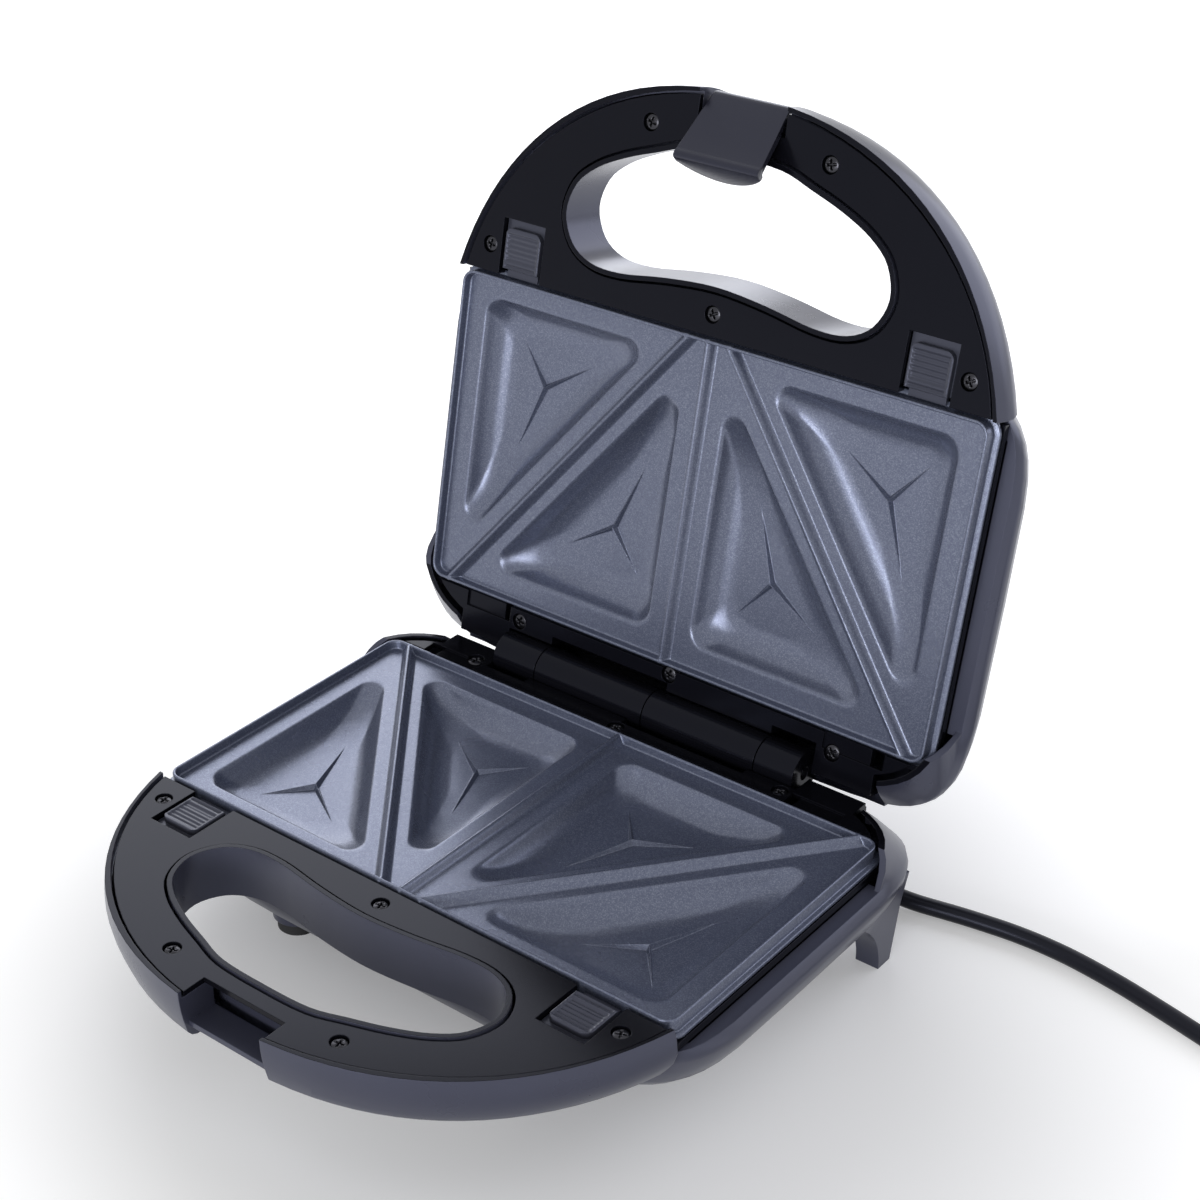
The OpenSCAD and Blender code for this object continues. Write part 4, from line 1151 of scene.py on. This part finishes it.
def latch_mesh():
    """A plate latch in the half frame, its plate end at the origin."""
    nx = 48
    ny = 56
    xs = np.linspace(-PAD_HALF_W, PAD_HALF_W, nx + 1)
    ys = np.linspace(-PAD_HALF_L, PAD_HALF_L, ny + 1)
    gx, gy = np.meshgrid(xs, ys)
    px, py = to_rounded(gx, gy, PAD_HALF_W, PAD_HALF_L, PAD_CORNER)
    px = np.where(gy > 0, gx, px)
    py = np.where(gy > 0, gy, py)
    edge = np.minimum(PAD_HALF_W - np.abs(px), PAD_HALF_L - np.abs(py))
    rim = 0.3 * np.clip(1 - edge / 0.35, 0, 1) ** 2
    depth = pad_depth(px, py) + rim
    middle = -(PAD_NEAR + PAD_HALF_L)
    points = list(zip(px.ravel(), py.ravel() + middle, depth.ravel()))
    faces = grid_faces(0, nx, ny)
    loop = grid_border(0, nx, ny)
    below = [len(points) + i for i in range(len(loop))]
    points += [(points[i][0], points[i][1], 3.5) for i in loop]
    faces += band_faces(loop, below)
    faces.append(tuple(below))
    slide = ((-9.2, 9.2, -25.0, -PAD_NEAR, 3.3, 5.0), (-7.0, 7.0, -5.0, -0.7, 3.3, 5.0))
    more, more_faces = box_faces(slide, len(points))
    mesh = closed_mesh("plate_latch", points + more, faces + more_faces)
    smooth_below(mesh, 45)
    return mesh


class TOASTER_OT_latches(bpy.types.Operator):
    """Make the four plate latches"""
    bl_idname = "toaster.latches"
    bl_label = "Plate latches"

    def execute(self, context):
        for half, place in HALVES.items():
            for side, sign in (("left", 1), ("right", -1)):
                node = f"{half}_latch_{side}"
                if half == "lid":
                    sign = -sign
                mesh = latch_mesh()
                mesh.transform(Matrix.Translation((sign * LATCH_X, -PLATE_HALF_D, 0)))
                mesh.transform(place)
                keep_piece(f"{node}_pad", mesh, latch_material(), node, False, (node,))
        return {"FINISHED"}


def clip_profile(end):
    """Side view of the clip, forward and up from its pivot; its hook reaches back to the given end."""
    points = []
    for k in range(13):
        a = math.radians(270 - 15 * k)
        points.append((3 * math.cos(a), 3 * math.sin(a)))
    points += [(1.5, 2.9), (2.6, 2.5), (3.5, 1.8), (4.0, 0.8), (4.1, -0.4)]
    points += [(4.1, -8.0), (4.1, -16.0), (4.1, -22.4), (4.2, -23.0), (4.4, -23.6), (4.5, -24.3)]
    points += [(4.42, -25.0), (4.15, -25.6), (3.7, -25.95), (3.1, -26.05), (2.4, -26.0)]
    points += [(end + 0.5, -26.0), (end + 0.15, -25.85), (end, -25.5)]
    points += [(end, -24.6), (end + 0.15, -24.25), (end + 0.5, -24.1)]
    points += [(1.3, -24.05), (1.7, -23.75), (1.9, -23.2), (1.9, -12.0)]
    points += [(1.9, -4.0), (1.7, -3.3), (1.2, -3.0)]
    return points


class TOASTER_OT_clip(bpy.types.Operator):
    """Make the front clip"""
    bl_idname = "toaster.clip"
    bl_label = "Clip"

    def execute(self, context):
        steps = 40
        points = []
        count = len(clip_profile(0.0))
        for i in range(steps + 1):
            s = -math.cos(math.pi * i / steps)
            reach = CLIP_HOOK_MID + CLIP_HOOK_R - math.sqrt(CLIP_HOOK_R ** 2 - (s * CLIP_HALF_W) ** 2)
            for forward, up in clip_profile(reach):
                wide = min(1.0, max(0.0, (4.0 - up) / 24.1))
                half = CLIP_TOP_HALF + (CLIP_HALF_W - CLIP_TOP_HALF) * wide
                points.append((s * half, -forward, up))
        faces = sweep_faces(steps + 1, count)
        faces.append(tuple(range(count)))
        faces.append(tuple(steps * count + k for k in range(count - 1, -1, -1)))
        turn = Matrix.Rotation(math.radians(CLIP_REST), 4, "X")
        shift = Matrix.Translation((0, *CLIP_PIVOT))
        mesh = closed_mesh("front_clip", points, faces, turn, shift, LID_PLACE)
        smooth_below(mesh, 48)
        keep_piece("front_clip", mesh, clip_material(), "clip", False, ("clip",))
        return {"FINISHED"}


def screw_mesh():
    """A domed screw head with a cross, its top at depth zero, and its shank."""
    n = 30
    r = SCREW_RADIUS
    g = np.linspace(-1, 1, n + 1)
    u, v = np.meshgrid(g, g)
    x = u * np.sqrt(1 - v * v / 2) * r
    y = v * np.sqrt(1 - u * u / 2) * r
    radius = np.hypot(x, y)
    dome = 0.5 * (radius / r) ** 2 + 0.35 * np.clip((radius / r - 0.85) / 0.15, 0, 1) ** 2
    cross_x = np.clip((0.42 - np.abs(y)) / 0.16, 0, 1) * np.clip((1.9 - np.abs(x)) / 0.5, 0, 1)
    cross_y = np.clip((0.42 - np.abs(x)) / 0.16, 0, 1) * np.clip((1.9 - np.abs(y)) / 0.5, 0, 1)
    depth = dome + 1.1 * np.maximum(cross_x, cross_y)
    points = list(np.stack([x.ravel(), y.ravel(), depth.ravel()], 1))
    faces = grid_faces(0, n, n)
    loop = grid_border(0, n, n)
    outline = [points[i] for i in loop]
    last = loop
    for scale, level in ((1.0, 1.7), (0.5, 1.7), (0.5, 13.7)):
        first = len(points)
        points += [np.array((p[0] * scale, p[1] * scale, level)) for p in outline]
        this = [first + i for i in range(len(loop))]
        faces += band_faces(last, this)
        last = this
    faces.append(tuple(last))
    mesh = closed_mesh("cover_screw", points, faces)
    smooth_below(mesh, 50)
    return mesh


def scatter_tree():
    """Stands a copy of an object on each point, turned by a seeded angle."""
    tree = bpy.data.node_groups.new("screws_on_points", "GeometryNodeTree")
    face = tree.interface
    face.new_socket(name="Geometry", in_out="INPUT", socket_type="NodeSocketGeometry")
    face.new_socket(name="Screw", in_out="INPUT", socket_type="NodeSocketObject")
    face.new_socket(name="Turn Seed", in_out="INPUT", socket_type="NodeSocketInt")
    face.new_socket(name="Material", in_out="INPUT", socket_type="NodeSocketMaterial")
    face.new_socket(name="Geometry", in_out="OUTPUT", socket_type="NodeSocketGeometry")
    entry = tree.nodes.new("NodeGroupInput")
    leave = tree.nodes.new("NodeGroupOutput")
    stand = tree.nodes.new("GeometryNodeInstanceOnPoints")
    source = tree.nodes.new("GeometryNodeObjectInfo")
    turn = tree.nodes.new("FunctionNodeRandomValue")
    turn.data_type = "FLOAT"
    turn.inputs[2].default_value = 0.0
    turn.inputs[3].default_value = math.pi / 2
    spin = tree.nodes.new("ShaderNodeCombineXYZ")
    real = tree.nodes.new("GeometryNodeRealizeInstances")
    paint = tree.nodes.new("GeometryNodeSetMaterial")
    join(tree, entry.outputs["Geometry"], stand.inputs["Points"])
    join(tree, entry.outputs["Screw"], source.inputs["Object"])
    join(tree, source.outputs["Geometry"], stand.inputs["Instance"])
    join(tree, entry.outputs["Turn Seed"], turn.inputs["Seed"])
    join(tree, turn.outputs[1], spin.inputs["Z"])
    join(tree, spin.outputs[0], stand.inputs["Rotation"])
    join(tree, stand.outputs[0], real.inputs[0])
    join(tree, real.outputs[0], paint.inputs["Geometry"])
    join(tree, entry.outputs["Material"], paint.inputs["Material"])
    join(tree, paint.outputs[0], leave.inputs[0])
    return tree


def grown_mesh(name, holder_mesh, tree, values):
    """Runs a geometry tree on a mesh and returns the plain mesh that it makes."""
    holder = bpy.data.objects.new(name + "_holder", holder_mesh)
    bpy.context.scene.collection.objects.link(holder)
    maker = holder.modifiers.new("maker", "NODES")
    maker.node_group = tree
    for item in tree.interface.items_tree:
        if item.item_type == "SOCKET" and item.in_out == "INPUT" and item.name in values:
            maker[item.identifier] = values[item.name]
    bpy.context.view_layer.update()
    seen = holder.evaluated_get(bpy.context.evaluated_depsgraph_get())
    mesh = bpy.data.meshes.new_from_object(seen)
    mesh.name = name
    bpy.data.objects.remove(holder)
    return mesh


class TOASTER_OT_screws(bpy.types.Operator):
    """Make the cross-head screws of both covers"""
    bl_idname = "toaster.screws"
    bl_label = "Cover screws"

    def execute(self, context):
        seed = context.scene.toaster_screws.turn_seed
        screw = bpy.data.objects.new("cover_screw_shape", screw_mesh())
        context.scene.collection.objects.link(screw)
        tree = scatter_tree()
        for shift, half in enumerate(HALVES):
            spots = bpy.data.meshes.new("screw_spots")
            spots.from_pydata([(x, y, SCREW_TOP) for x, y in SCREW_SPOTS], [], [])
            mesh = grown_mesh(
                f"{half}_screw_heads", spots, tree,
                {"Screw": screw, "Turn Seed": seed + shift, "Material": screw_material()},
            )
            mesh.transform(HALVES[half])
            keep_piece(f"{half}_screw_heads", mesh, screw_material(), half, False,
                       (f"{half}_cover_screws",))
        bpy.data.objects.remove(screw)
        return {"FINISHED"}


class TOASTER_OT_feet(bpy.types.Operator):
    """Finish the front feet"""
    bl_idname = "toaster.feet"
    bl_label = "Front feet"

    def execute(self, context):
        dressed_copy("front_feet", "front_rubber_feet", rubber_material(), "base")
        return {"FINISHED"}


class TOASTER_OT_inner_metal(bpy.types.Operator):
    """Finish the elements, trays, pins, thermostat and inner screws"""
    bl_idname = "toaster.inner_metal"
    bl_label = "Inner metal parts"

    def execute(self, context):
        for node in ("lower_heater", "upper_heater", "hinge_pin", "clip_pin", "thermostat"):
            finish_node(node, steel_material())
        for node in ("lower_reflector", "upper_reflector"):
            finish_node(node, tray_material())
        for node in ("base_reflector_screws", "lid_reflector_screws"):
            finish_node(node, screw_material())
        return {"FINISHED"}


class TOASTER_OT_lamps(bpy.types.Operator):
    """Finish the power lamp and the ready lamp"""
    bl_idname = "toaster.lamps"
    bl_label = "Lamps"

    def execute(self, context):
        red = surface_material("red_lens", (0.42, 0.012, 0.012), 0.12, spread=0.04, grain_depth=0.0)
        green = surface_material("green_lens", (0.02, 0.26, 0.05), 0.12, spread=0.04, grain_depth=0.0)
        dressed_copy("power_lamp", "power_lens", red, "lid")
        dressed_copy("ready_lamp", "ready_lens", green, "lid")
        return {"FINISHED"}


OPERATORS = (
    TOASTER_OT_stage, TOASTER_OT_cord, TOASTER_OT_shells, TOASTER_OT_covers, TOASTER_OT_plates,
    TOASTER_OT_latches, TOASTER_OT_clip, TOASTER_OT_screws, TOASTER_OT_feet,
    TOASTER_OT_inner_metal, TOASTER_OT_lamps,
)


class TOASTER_PT_panel(bpy.types.Panel):
    """Lists the toaster's pieces in the sidebar"""
    bl_label = "Sandwich toaster"
    bl_idname = "TOASTER_PT_panel"
    bl_space_type = "VIEW_3D"
    bl_region_type = "UI"
    bl_category = "Toaster"

    def draw(self, context):
        for operator in OPERATORS:
            self.layout.operator(operator.bl_idname)
        for name, group in SETTINGS.items():
            box = self.layout.box()
            for key in group.__annotations__:
                box.prop(getattr(context.scene, name), key)


def register():
    for name, group in SETTINGS.items():
        bpy.utils.register_class(group)
        setattr(bpy.types.Scene, name, PointerProperty(type=group))
    for item in OPERATORS + (TOASTER_PT_panel,):
        bpy.utils.register_class(item)


def unregister():
    for item in (TOASTER_PT_panel,) + OPERATORS[::-1]:
        bpy.utils.unregister_class(item)
    for name, group in SETTINGS.items():
        delattr(bpy.types.Scene, name)
        bpy.utils.unregister_class(group)


def main():
    register()
    for operator in OPERATORS:
        group, action = operator.bl_idname.split(".")
        getattr(getattr(bpy.ops, group), action)()


if __name__ == "__main__":
    main()
